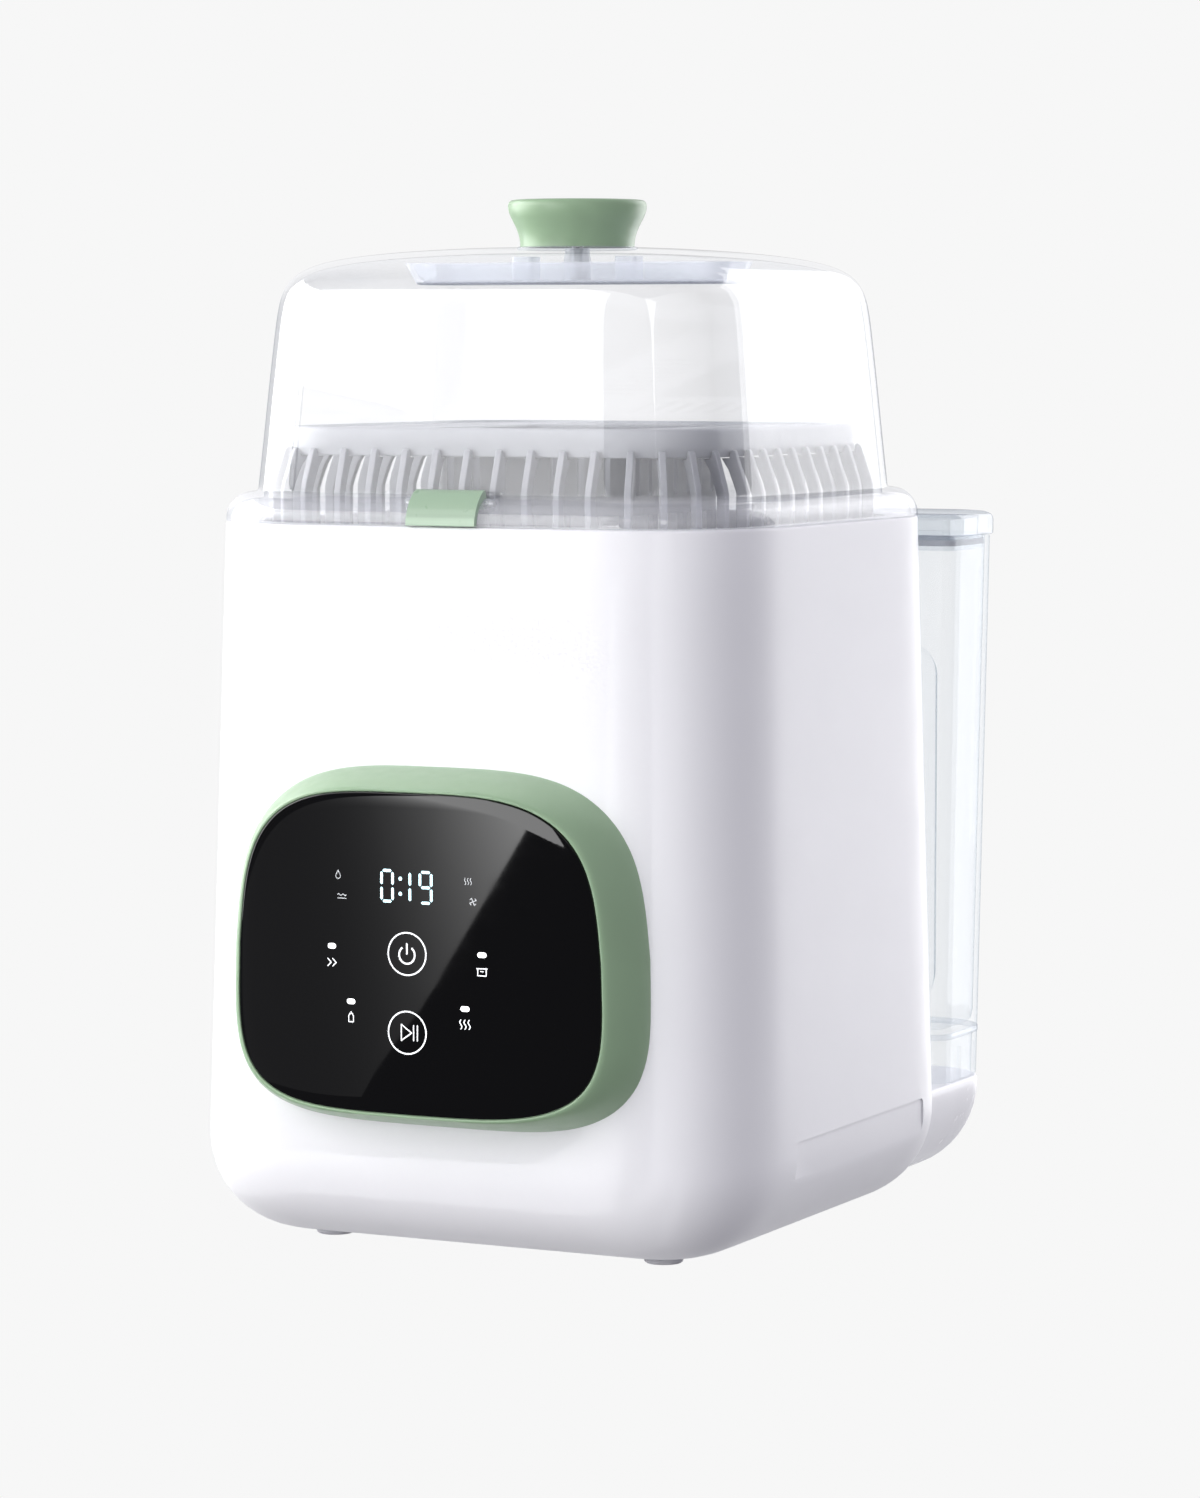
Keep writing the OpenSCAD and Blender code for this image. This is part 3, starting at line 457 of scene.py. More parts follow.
rings = [body_ring(7.0, half_at(7) - 86.2, 15.2), body_ring(FOOT_H + 0.4, half_at(FOOT_H) - 86.2, 15.2),
         body_ring(FOOT_H, half_at(FOOT_H) - 86.6, 15.0)]
for k in range(15):
    t = PI / 2 * (1 - k / 14)
    rings.append(body_ring(FOOT_H + FILLET * (1 - math.sin(t)), FILLET * (1 - math.cos(t))))
rings += [body_ring(45 + (RIM_Z - 1.3 - 45) * k / 10, 0) for k in range(1, 11)]
rings += [body_ring(RIM_Z - 1.3 + 1.3 * math.sin(t), 1.3 - 1.3 * math.cos(t))
          for t in (PI / 8, PI / 4, PI * 3 / 8, PI / 2)]
rings += [body_ring(RIM_Z, 2.0), body_ring(RIM_Z, 11.7, 46.3), body_ring(RIM_Z - 3, 11.7, 46.3),
          body_ring(RIM_Z - 3, 3.2, 49), body_ring(60, 3.2, 49), body_ring(20, 26, 26), body_ring(7.6, 44, 8)]
shell = bmesh.new()
loft(shell, rings)
grips = bmesh.new()
for s in SIDES:
    loft(grips, [[(s * (x), 9.5 + y, 41.5 + z) for y, z, _ in rounded(66.5, 8.5, 3.0, 0, arc=6, side=2)]
                 for x in (126.2, 140)])
shell = cut(shell, grips)
finish("housing_shell", shell, "base", "white_shell", ["housing"], sharp=30)

DOCK_HALF, DOCK_BACK, DOCK_R, DOCK_FILLET, DOCK_TOP = 116.0, 185.0, 26.0, 40.0, 47.0
DOCK_FRONT = 90.0


def dock_ring(z, inward):
    back = DOCK_BACK - inward
    r = max(DOCK_R - inward, 1.0)
    return rounded(DOCK_HALF - inward, (back - DOCK_FRONT) / 2, (r, r, 1, 1), z, cy=(back + DOCK_FRONT) / 2,
                   arc=12, side=10)


rings = [dock_ring(FOOT_H + 0.1, DOCK_FILLET + 0.5)]
for k in range(13):
    t = PI / 2 * (1 - k / 12)
    rings.append(dock_ring(FOOT_H + 0.1 + (DOCK_FILLET - 0.1) * (1 - math.sin(t)),
                           DOCK_FILLET * (1 - math.cos(t))))
rings += [dock_ring(DOCK_TOP - 1.5 + 1.5 * math.sin(t), 1.5 - 1.5 * math.cos(t))
          for t in (0, PI / 6, PI / 3, PI / 2)]
rings += [dock_ring(DOCK_TOP, 2.2)]
dock = bmesh.new()
loft(dock, rings)
sockets = bmesh.new()
for s in SIDES:
    lathe(sockets, [(6.2, DOCK_TOP - 14), (6.2, DOCK_TOP + 3)], (s * 69, 158), 48)
dock = cut(dock, sockets)
# the dock takes dock_white, a lighter copy of the shell's white: painted light
finish("dock_shell", dock, "base", "dock_white", ["housing"], sharp=30)

SPINE_BACK, DOOR_Z, DOOR_H, INLET_Z = 178.0, 173.0, 92.0, 70.0
column = bmesh.new()
ring_at = lambda z, i: rounded(18 - i, (SPINE_BACK - 112) / 2 - i, 3.5 - i * 0.6, z,
                               cy=(SPINE_BACK + 112) / 2, arc=6, side=4)
loft(column, [ring_at(42, 0), ring_at(120, 0), ring_at(230, 0), ring_at(289.4, 0), ring_at(290.4, 0.35),
              ring_at(291, 1.2),
              ring_at(291, 2.2)])
holes = bmesh.new()
block(holes, (-15.3, SPINE_BACK - 2.8, DOOR_Z - 1), (15.3, SPINE_BACK + 5, DOOR_Z + DOOR_H + 0.3))
block(holes, (-14, SPINE_BACK - 18.2, INLET_Z - 10.2), (14, SPINE_BACK + 5, INLET_Z + 10.2))
for k in range(5):
    block(holes, (-12, SPINE_BACK - 0.7, 104 + 9 * k), (12, SPINE_BACK + 2, 107 + 9 * k))
column = cut(column, holes)
finish("column_shell", column, "base", "dock_white", ["back_column"], sharp=30)

foot = bmesh.new()
for sx in SIDES:
    for sy in SIDES:
        lathe(foot, [(5.2, 0.6), (5.6, 0.1), (6.2, 0.0), (7.2, 0.05), (7.8, 0.5), (8.0, 1.3), (8.0, 3.4),
                     (7.7, 3.95), (7.0, 3.98)],
              (sx * 76, sy * 74), 48)
finish("feet", foot, "base", "foot_rubber", ["rubber_feet"], sharp=50)

# ---------------------------------------------------------------------------------------- control panel

PANEL_Z, CROWN_R = 129.5, 412.0
# how far the crown reaches in front of the axis
GLASS_FRONT = (AXIS_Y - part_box("control_glass")[0][1] / MM)


def crown_y(x, depth=0.0):
    """The glass's face at x, depth behind it."""
    return -GLASS_FRONT + CROWN_R - math.sqrt((CROWN_R - depth) ** 2 - x * x)


def panel_outline(w, h, lean, n=128, low=2.0, top_n=3.5, low_n=4.2):
    out = []
    for k in range(n):
        t = 2 * PI * k / n
        c, s = math.cos(t), math.sin(t)
        e = 2 / (top_n if s > 0 else low_n)
        v = math.copysign(abs(s) ** e, s)
        half = w - (lean if v > 0 else low) * v
        out.append((half * math.copysign(abs(c) ** e, c), PANEL_Z + h * v))
    return out


def panel_ring(grow, depth, flat=None, lean=5.5):
    """The panel's outline grown by grow, laid on the crown depth behind the face, or at one depth if flat."""
    return [(x, crown_y(x, depth) if flat is None else flat, z)
            for x, z in panel_outline(81 + grow, 64 + grow * 0.92, lean)]


glass = bmesh.new()
rows = [panel_ring(0.0, 2.4), panel_ring(0.0, 0.45), panel_ring(-0.12, 0.2), panel_ring(-0.45, 0.12)]
for k in range(1, 12):
    f = 1 - k / 12
    rows.append([(x * f, crown_y(x * f, 0.12), PANEL_Z + (z - PANEL_Z) * f)
                 for x, z in panel_outline(80.55, 63.6, 5.5)])
loft(glass, rows)
finish("panel_glass", glass, "base", "black_glass", ["control_glass"], sharp=50)

bezel = bmesh.new()


def bezel_ring(mix, grow, depth):
    """Between the outer edge on the housing (mix 0) and the glass's edge (mix 1)."""
    outer, inner = panel_outline(92.5, 72.6, 7), panel_outline(81 + grow, 64 + grow * 0.92, 5.5)
    out = []
    for (ox, oz), (ix, iz) in zip(outer, inner):
        x, z = ox + (ix - ox) * mix[0], oz + (iz - oz) * mix[0]
        back = -122.2
        out.append((x, back + (crown_y(ix, depth) - back) * mix[1], z))
    return out


rows = [[(x, -121.0, z) for x, z in panel_outline(90, 70.2, 6.8)],
        [(x, -121.0, z) for x, z in panel_outline(92.5, 72.6, 7)]]
for k in range(0, 13):
    t = k / 12
    rows.append(bezel_ring((t ** 1.25 * 0.97, 1 - (1 - t) ** 1.15 * 1.0), 1.2, 0.3))
rows += [bezel_ring((1, 1), 0.9, 0.12), bezel_ring((1, 1), 0.5, 0.25), bezel_ring((1, 1), 0.32, 0.6),
         bezel_ring((1, 1), 0.3, 2.4)]
rows += [[(x, -128.0, z) for x, z in panel_outline(76, 59, 5.5)],
         [(x, -121.0, z) for x, z in panel_outline(78, 61, 5.5)]]
loft(bezel, rows, closed=True)
finish("bezel", bezel, "base", "sage_plastic", ["control_bezel"], sharp=45)

INK = 0.06      # how deep the graphics lie behind the CAD glass's face: just proud of the drawn glass


def decal(bm, points):
    """A flat graphic on the crown: its outline as (x, z) points."""
    bm.faces.new([bm.verts.new((x, crown_y(x, INK), z)) for x, z in points])


def bar(bm, x0, z0, x1, z1, w, cut_ends=0.0):
    """A straight stroke of width w, with round ends, or pointed ones cut_ends long."""
    d = Vector((x1 - x0, z1 - z0)).normalized()
    nrm = Vector((-d.y, d.x)) * w / 2
    a, b = Vector((x0, z0)), Vector((x1, z1))
    if cut_ends:
        tip = d * cut_ends
        pts = [a - tip, a + nrm, b + nrm, b + tip, b - nrm, a - nrm]
    else:
        base = math.atan2(nrm.y, nrm.x)
        pts = []
        for end, first in ((a, base), (b, base + PI)):
            turns = [first + PI * k / 6 for k in range(7)]
            pts += [end + Vector((math.cos(t), math.sin(t))) * w / 2 for t in turns]
    decal(bm, [(p.x, p.y) for p in pts])


def arc(bm, cx, cz, r, w, start=0.0, end=360.0, n=48):
    """A ring or part of one, of stroke width w."""
    for k in range(n):
        a, b = (math.radians(start + (end - start) * j / n) for j in (k, k + 1))
        decal(bm, [(cx + q * math.cos(t), cz + q * math.sin(t)) for q, t in
                   ((r - w / 2, a), (r + w / 2, a), (r + w / 2, b), (r - w / 2, b))])


def graphic(name, bm, mat):
    finish(name, bm, "base", mat, flat=True)


SEGMENTS = {"a": (0, 2, 1, 2), "b": (1, 2, 1, 1), "c": (1, 1, 1, 0), "d": (0, 0, 1, 0), "e": (0, 1, 0, 0),
            "f": (0, 2, 0, 1),
            "g": (0, 1, 1, 1)}
LIT = {"0": "abcdef", "1": "bc", "9": "abcdfg"}
DIGIT_W, DIGIT_H, STROKE = 5.0, 6.1, 1.15
digits = bmesh.new()
for x, figure in ((-11.4, "0"), (-3.6, "1"), (5.9, "9")):
    for s in LIT[figure]:
        x0, z0, x1, z1 = SEGMENTS[s]
        gap = 0.95
        dx, dz = (gap if x1 != x0 else 0), (gap if z1 != z0 else 0)
        bar(digits, x + x0 * DIGIT_W + dx, 150.4 + z0 * DIGIT_H - (dz if z0 > z1 else 0),
            x + x1 * DIGIT_W - dx,
            150.4 + z1 * DIGIT_H + (dz if z0 > z1 else 0), STROKE, cut_ends=0.5)
for z in (153.6, 159.6):
    decal(digits, [(-2.9 + 0.8 * math.cos(2 * PI * k / 20), z + 0.8 * math.sin(2 * PI * k / 20))
                   for k in range(20)])
graphic("clock_digits", digits, "digit_glow")

icons = bmesh.new()
for z in (129.8, 98.4):
    arc(icons, 0, z, 8.45, 0.62, n=72)
arc(icons, 0, 129.4, 3.5, 0.75, 125, 415, 40)
bar(icons, 0, 129.9, 0, 133.7, 0.75)
for a, b in (((-2.6, 95.2), (-2.6, 101.6)), ((-2.6, 101.6), (2.0, 98.4)), ((2.0, 98.4), (-2.6, 95.2)),
             ((2.9, 95.4), (2.9, 101.4)), ((4.6, 95.4), (4.6, 101.4))):
    bar(icons, *a, *b, 0.5)
graphic("key_icons", icons, "icon_white")

KEYS = ((-34.8, 131.0), (32.8, 131.0), (-25.8, 109.3), (25.5, 109.3))
leds = bmesh.new()
for x, z in KEYS:
    bar(leds, x - 0.9, z, x + 0.9, z, 2.2)
graphic("key_leds", leds, "led_white")

signs = bmesh.new()
x, z = KEYS[0][0], KEYS[0][1] - 6.6          # two chevrons: the short programme
for k in (-1.2, 1.2):
    bar(signs, x + k - 0.8, z + 1.5, x + k + 0.8, z, 0.45)
    bar(signs, x + k + 0.8, z, x + k - 0.8, z - 1.5, 0.45)
x, z = KEYS[1][0], KEYS[1][1] - 6.6          # a lidded box: storage
for a, b in (((-2.2, 1.2), (2.2, 1.2)), ((-1.8, 1.2), (-1.8, -1.6)), ((-1.8, -1.6), (1.8, -1.6)),
             ((1.8, -1.6), (1.8, 1.2)),
             ((-0.6, 0.1), (0.6, 0.1))):
    bar(signs, x + a[0], z + a[1], x + b[0], z + b[1], 0.42)
x, z = KEYS[2][0], KEYS[2][1] - 6.2          # a bottle: the usual programme
for a, b in (((-1.1, -2), (1.1, -2)), ((-1.1, -2), (-1.1, 0.5)), ((1.1, -2), (1.1, 0.5)),
             ((-1.1, 0.5), (-0.5, 1.2)),
             ((1.1, 0.5), (0.5, 1.2)), ((-0.7, 1.4), (0.7, 1.4)), ((0, 1.5), (0, 2.1))):
    bar(signs, x + a[0], z + a[1], x + b[0], z + b[1], 0.4)
x, z = KEYS[3][0], KEYS[3][1] - 6.2          # three rising waves: steam
for k in (-1.8, 0, 1.8):
    wave = [(x + k + 0.45 * math.sin(j * PI / 4), z - 1.8 + 0.45 * j) for j in range(9)]
    for a, b in zip(wave, wave[1:]):
        bar(signs, *a, *b, 0.42)
graphic("key_signs", signs, "icon_white")

status = bmesh.new()
x, z = -31.7, 159.6                          # an empty drop: no water
for k in range(10):
    a, b = (math.radians(150 + 240 * j / 10) for j in (k, k + 1))
    bar(status, x + 1.1 * math.cos(a), z - 0.3 + 1.1 * math.sin(a), x + 1.1 * math.cos(b),
        z - 0.3 + 1.1 * math.sin(b), 0.3)
bar(status, x - 0.95, z + 0.25, x, z + 1.9, 0.3)
bar(status, x + 0.95, z + 0.25, x, z + 1.9, 0.3)
x, z = -29.9, 151.3                          # a wavy line over a bar: drying
for j in range(8):
    bar(status, x - 2 + 0.5 * j, z + 0.5 + 0.35 * math.sin(j * PI / 2), x - 1.5 + 0.5 * j,
        z + 0.5 + 0.35 * math.sin((j + 1) * PI / 2), 0.3)
bar(status, x - 2, z - 0.9, x + 2, z - 0.9, 0.3)
x, z = 26.9, 159.9                           # waves: steam
for k in (-1.2, 0, 1.2):
    for j in range(5):
        bar(status, x + k + 0.3 * math.sin(j * PI / 2.5), z - 1.3 + 0.5 * j,
            x + k + 0.3 * math.sin((j + 1) * PI / 2.5), z - 0.8 + 0.5 * j, 0.3)
x, z = 29.0, 151.9                           # a four-bladed fan: fresh air
for k in range(4):
    a = PI / 2 * k + 0.4
    bar(status, x, z, x + 1.5 * math.cos(a), z + 1.5 * math.sin(a), 0.32)
    bar(status, x + 1.5 * math.cos(a), z + 1.5 * math.sin(a), x + 1.5 * math.cos(a + 0.55),
        z + 1.5 * math.sin(a + 0.55), 0.32)
# the status signs glow with painted light: their grey print is emissive
graphic("status_signs", status, "print_grey")

# ---------------------------------------------------------------------------------------- lid

SKIRT_R, SKIRT_Z, LID_T = 11.0, 309.5, 2.5


def lid_ring(half, r, z):
    return rounded(half, half, r, z, arc=18, side=12, power=2.4)


def crown_profile(inset):
    """(half width, corner radius, height) up the dome from its foot, inset from its outer face."""
    wall = [(109.9, 45.0, 311.0), (108.1, 44.4, 331.0), (106.0, 43.7, 355.0), (104.0, 43.0, 376.0),
            (103.0, 42.6, 384.0),
            (101.9, 42.2, 389.5), (99.9, 41.6, 394.6), (96.3, 41.5, 399.2), (90.0, 41.0, 402.9),
            (80.0, 40.5, 405.7),
            (64.0, 38.0, 408.0), (42.0, 30.0, 409.6), (20.0, 18.0, 410.2), (6.0, 6.0, 410.3)]
    curve = smooth_curve(wall, 4)
    out = []
    for i, (h, r, z) in enumerate(curve):
        a, b = curve[max(i - 1, 0)], curve[min(i + 1, len(curve) - 1)]
        tx, tz = b[0] - a[0], b[2] - a[2]
        length = math.hypot(tx, tz) or 1
        nx, nz = tz / length, -tx / length       # outward
        out.append((h - nx * inset, max(r - nx * inset, 1.0), z - nz * inset))
    return out


rings = [lid_ring(BODY_HALF - 0.05, 52, RIM_Z + 0.15), lid_ring(BODY_HALF, 52, RIM_Z + 0.5),
         lid_ring(BODY_HALF, 52, SKIRT_Z - SKIRT_R)]
for k in range(1, 13):
    t = PI / 2 * k / 12
    rings.append(lid_ring(BODY_HALF - SKIRT_R * (1 - math.cos(t)), 52 - SKIRT_R * (1 - math.cos(t)),
                          SKIRT_Z - SKIRT_R * (1 - math.sin(t))))
rings += [lid_ring(110.45, 43.5, SKIRT_Z + 0.12), lid_ring(110.1, 44.6, SKIRT_Z + 0.6)]
rings += [lid_ring(*p) for p in crown_profile(0.0)]
rings += [lid_ring(*p) for p in reversed(crown_profile(LID_T))]
rings += [lid_ring(107.6, 42.6, 307.3), lid_ring(108.2, 42.4, 306.6), lid_ring(110.4, 41.1, 306.5)]
for k in range(11, -1, -1):
    t = PI / 2 * k / 12
    rings.append(lid_ring(118.5 - 8 * (1 - math.cos(t)), 49 - 8 * (1 - math.cos(t)),
                          306.5 - 8 * (1 - math.sin(t))))
rings += [lid_ring(118.5, 49, RIM_Z + 0.5), lid_ring(118.7, 49.2, RIM_Z + 0.15)]
lid = bmesh.new()
hollow(lid, rings, [i for i, ring in enumerate(rings) if abs(ring[0][2] - 410.3) < 0.05][-1])
notch = bmesh.new()
block(notch, (-15.9, -135, RIM_Z - 3), (15.9, -110.3, 316))
lid = cut(lid, notch)
finish("lid_shell", lid, "lid", "clear_lid", ["lid_dome"], sharp=35)

lugs = bmesh.new()
for s in SIDES:
    loft(lugs, [[(s * 18 + dx, -113.2 + y, 306.5 + z) for y, z, _ in rounded(2.4, 2.4, 1.6, 0, arc=6, side=1)]
                for dx in (-1.8, 1.8)])
finish("latch_lugs", lugs, "lid", "clear_part", bevel=0.25, sharp=35)

collar = bmesh.new()
lathe(collar, [(22.0, 409.0), (24.6, 409.2), (25.2, 409.6), (25.3, 410.1), (25.0, 410.5), (24.3, 410.6),
               (23.4, 410.3), (22.0, 410.2)])
finish("knob_collar", collar, "lid", "clear_part", sharp=50)

knob = bmesh.new()
side = smooth_curve([(23.9, 410.35), (23.95, 412.4), (24.45, 415.0), (25.4, 417.8), (26.7, 420.6),
                     (28.0, 423.2), (28.75, 425.4),
                     (29.0, 427.1), (28.9, 428.2), (28.4, 429.2), (27.6, 429.75), (26.4, 430.0)], 4)
lathe(knob, [(20.5, 424.0), (20.5, 411.0), (20.8, 410.4), (23.3, 410.3)] + side
      + [(22.0, 430.0), (12.0, 430.0), (3.0, 430.0)])
finish("knob", knob, "lid", "sage_plastic", ["lid_knob"], sharp=50)

baffle = bmesh.new()
dish = lambda grow, z, r: rounded(70.5 + grow * 1.2, 14.8 + grow, r, z, arc=8, side=6)
loft(baffle, [dish(4.0, 404.0, 9.0), dish(3.6, 403.0, 8.8), dish(1.0, 396.6, 7.0), dish(0.2, 395.3, 6.4),
              dish(-0.9, 395.0, 6.0),
              dish(-2.0, 396.6, 5.5), dish(-0.9, 397.2, 5.8), dish(1.8, 403.2, 7.6), dish(2.4, 404.0, 8.0)],
     closed=False, caps=(False, False))
base = bmesh.new()
loft(base, [dish(-0.9, 395.0, 6.0), dish(-2.0, 396.6, 5.5)])
finish("baffle_rim", baffle, "lid", "clear_trough", ["steam_baffle"], sharp=50)
finish("baffle_floor", base, "lid", "clear_trough", ["steam_baffle"], bevel=0.3)
posts = bmesh.new()
for x, w in ((-24, 5), (24, 5)):
    loft(posts, [rounded(w, w, 2.5, z, cx=x, arc=6, side=2) for z in (396.8, 406.5)])
hub = bmesh.new()                                # the boss about the knob's screw
lathe(hub, [(5.6, 396.9), (5.6, 405.0), (5.2, 407.6), (5.2, 409.9), (2.2, 409.9), (2.2, 396.9)])
finish("baffle_hub", hub, "lid", "clear_boss", ["steam_baffle"], sharp=40)
edge = bmesh.new()                               # the dish's thick lower edge, where light gathers; its dark tint is painted shade for the line that edge shows
loft(edge, [dish(0.15, 395.1, 6.4), dish(0.35, 395.9, 6.5), dish(-0.6, 395.9, 6.1), dish(-0.9, 394.9, 6.0)],
     closed=True)
finish("baffle_edge", edge, "lid", "clear_line", ["steam_baffle"], sharp=60)
finish("baffle_posts", posts, "lid", "clear_boss", ["steam_baffle"], bevel=0.3)

tab = bmesh.new()
outer = smooth_curve([(-113.3, 312.2), (-115.2, 311.5), (-117.1, 310.0), (-119.3, 307.6), (-121.0, 304.8),
                      (-121.9, 302.4)], 4)
inner = [(-110.5 - 9.9 * math.cos(t), 298.5 + 9.9 * math.sin(t))
         for t in [PI / 2 * k / 10 * 0.86 + 0.2 for k in range(10)]]
section = [(-122.7, 298.2), (-122.3, 297.9), (-121.0, 297.9), (-120.7, 298.4), (-120.3, 300.6)] + inner + \
    [(-112.1, 309.5), (-112.8, 311.6)] + outer + [(-122.6, 300.9)]
prism(tab, [(-15.5, y, z) for y, z in section], (31, 0, 0))
barrel = bmesh.new()
finish("latch_tab", tab, "latch", "latch_green", ["lid_latch"], sharp=35, bevel=0.35)
for_barrel = [(2.35 * math.cos(2 * PI * k / 24), 2.35 * math.sin(2 * PI * k / 24)) for k in range(24)]
prism(barrel, [(-15.4, -113.2 + a, 306.6 + b) for a, b in for_barrel], (30.8, 0, 0))
finish("latch_barrel", barrel, "latch", "latch_green", ["lid_latch"], sharp=35, bevel=0.3)

# ---------------------------------------------------------------------------------------- tray and rack

TRAY_Z, TRAY_TOP = 325.0, 336.5
ring_t = lambda half, z: rounded(half, half, 35 - (96.7 - half), z, arc=14, side=10)
tray = bmesh.new()
loft(tray, [ring_t(95.6, TRAY_Z), ring_t(96.3, TRAY_Z + 0.15), ring_t(96.7, TRAY_Z + 0.8),
            ring_t(96.7, TRAY_TOP - 1.4),
            ring_t(96.45, TRAY_TOP - 0.6), ring_t(95.9, TRAY_TOP - 0.1), ring_t(95.3, TRAY_TOP),
            ring_t(94.9, TRAY_TOP - 0.1),
            ring_t(94.5, TRAY_TOP - 1.0), ring_t(94.2, TRAY_TOP - 1.1), ring_t(49.5, TRAY_TOP - 1.1),
            ring_t(46.1, TRAY_TOP - 1.1),
            ring_t(46.1, TRAY_TOP - 4.0), ring_t(94.2, TRAY_TOP - 4.0), ring_t(94.2, TRAY_Z + 0.2),
            ring_t(94.6, TRAY_Z)],
     closed=True)
slots = bmesh.new()
for a in range(4):
    turn = Matrix.Rotation(PI / 2 * a, 3, "Z")
    for i in range(-4, 5):
        pts = [(p[0], p[1], TRAY_TOP - 6)
               for p in rounded(2.0, 14.0, 2.0, 0, cx=9.5 * i, cy=69, arc=5, side=1)]
        prism(slots, pts, (0, 0, 9), turn)
tray = cut(tray, slots)
finish("tray", tray, "tray", "light_grey", ["accessory_tray"], sharp=35)

basket = bmesh.new()
ring_b = lambda half, z: rounded(half, half, 8 - (45.5 - half) * 0.8, z, arc=6, side=6)
loft(basket, [ring_b(44.9, 300.0), ring_b(45.3, 300.5), ring_b(45.5, 301.4), ring_b(45.5, 334.5),
              ring_b(48.6, 334.6), ring_b(49.0, 335.0),
              ring_b(48.6, 335.45), ring_b(44.4, 335.5), ring_b(43.6, 334.8), ring_b(43.5, 303.0),
              ring_b(42.5, 302.0)])
holes = bmesh.new()
for i in range(-3, 4):
    prism(holes, [(p[0], p[1], 296) for p in rounded(2.0, 36.0, 2.0, 0, cx=12 * i, arc=5, side=1)],
          (0, 0, 10))
for turn in (Matrix.Identity(3), Matrix.Rotation(PI / 2, 3, "Z")):
    for i in range(-3, 4):
        pts = [(p[0], -60, p[1]) for p in rounded(1.6, 9.5, 1.6, 0, cx=12 * i, cy=317.5, arc=5, side=1)]
        prism(holes, pts, (0, 120, 0), turn)
basket = cut(basket, holes)
finish("basket", basket, "basket", "dark_rack", ["parts_basket"], sharp=35)

RACK_HALF, CORNER_OFF = 104.8, 62.8
RIB = [(93.4, 324.6), (96.9, 324.6), (97.05, 326.4), (97.5, 327.6), (98.4, 328.0), (99.2, 327.5),
       (99.9, 326.0), (102.0, 319.6),
       (103.8, 314.4), (104.8, 310.4), (104.8, 126.0), (104.0, 124.0), (101.0, 124.0), (100.3, 126.0),
       (100.3, 309.4), (98.8, 314.0),
       (96.4, 320.0)]
WALLS = ["rack_front", "rack_right", "rack_back", "rack_left"]
ribs = bmesh.new()


def add_rib(angle, off, shift):
    turn = Matrix.Rotation(angle, 3, "Z")
    pts = [(x - off, -1.45, z) for x, z in RIB]
    b = bmesh.new()
    prism(b, pts, (0, 2.9, 0))
    for v in b.verts:
        v.co = turn @ v.co + shift
    mesh = bpy.data.meshes.new("rib")
    b.to_mesh(mesh)
    ribs.from_mesh(mesh)
    bpy.data.meshes.remove(mesh)
    b.free()


for a in range(4):
    turn = Matrix.Rotation(PI / 2 * a, 3, "Z")
    for i in range(-4, 5):
        add_rib(PI / 2 * a, 0, turn @ Vector((0, 14.2 * i, 0)))
    for deg in (15, 35, 55, 75):
        add_rib(PI / 2 * a + math.radians(deg), CORNER_OFF, turn @ Vector((CORNER_OFF, CORNER_OFF, 0)))
finish("rack_ribs", ribs, "rack", "grey_rack", WALLS, sharp=35, bevel=0.55)
hoops = bmesh.new()
for z, h in ((124, 6), (214, 4), (280, 5)):
    r = lambda half, z: rounded(half, half, 42 - (RACK_HALF - half), z, arc=12, side=8)
    loft(hoops, [r(104.5, z), r(104.75, z + 0.6), r(104.75, z + h - 0.6), r(104.3, z + h), r(100.8, z + h),
                 r(100.4, z + h - 0.5),
                 r(100.4, z + 0.5), r(100.8, z)], closed=True)
finish("rack_hoops", hoops, "rack", "grey_rack", WALLS, sharp=50)

# ---------------------------------------------------------------------------------------- water tanks

TANK_TOP, TANK_LOW, TAPER = 286.5, 47.3, 3.5
TX0, TX1, TY0, TY1 = 20.0, 118.0, 129.0, 187.7
TANK_R = (22.0, 8.0, 8.0, 8.0)       # outer back, inner back, inner front, outer front


def tank_ring(z, grow=0.0, s=1, lift=None):
    low = TAPER * (TANK_TOP - z) / (TANK_TOP - 47.0) if z < TANK_TOP else 0
    x0, x1, y0, y1 = TX0 - grow, TX1 - low + grow, TY0 - grow, TY1 - low + grow
    ring = rounded((x1 - x0) / 2, (y1 - y0) / 2, [max(r + grow, 0.4) for r in TANK_R],
                   z if lift is None else lift,
                   (x0 + x1) / 2, (y0 + y1) / 2, arc=10, side=8)
    return [(s * x, y, z) for x, y, z in ring]


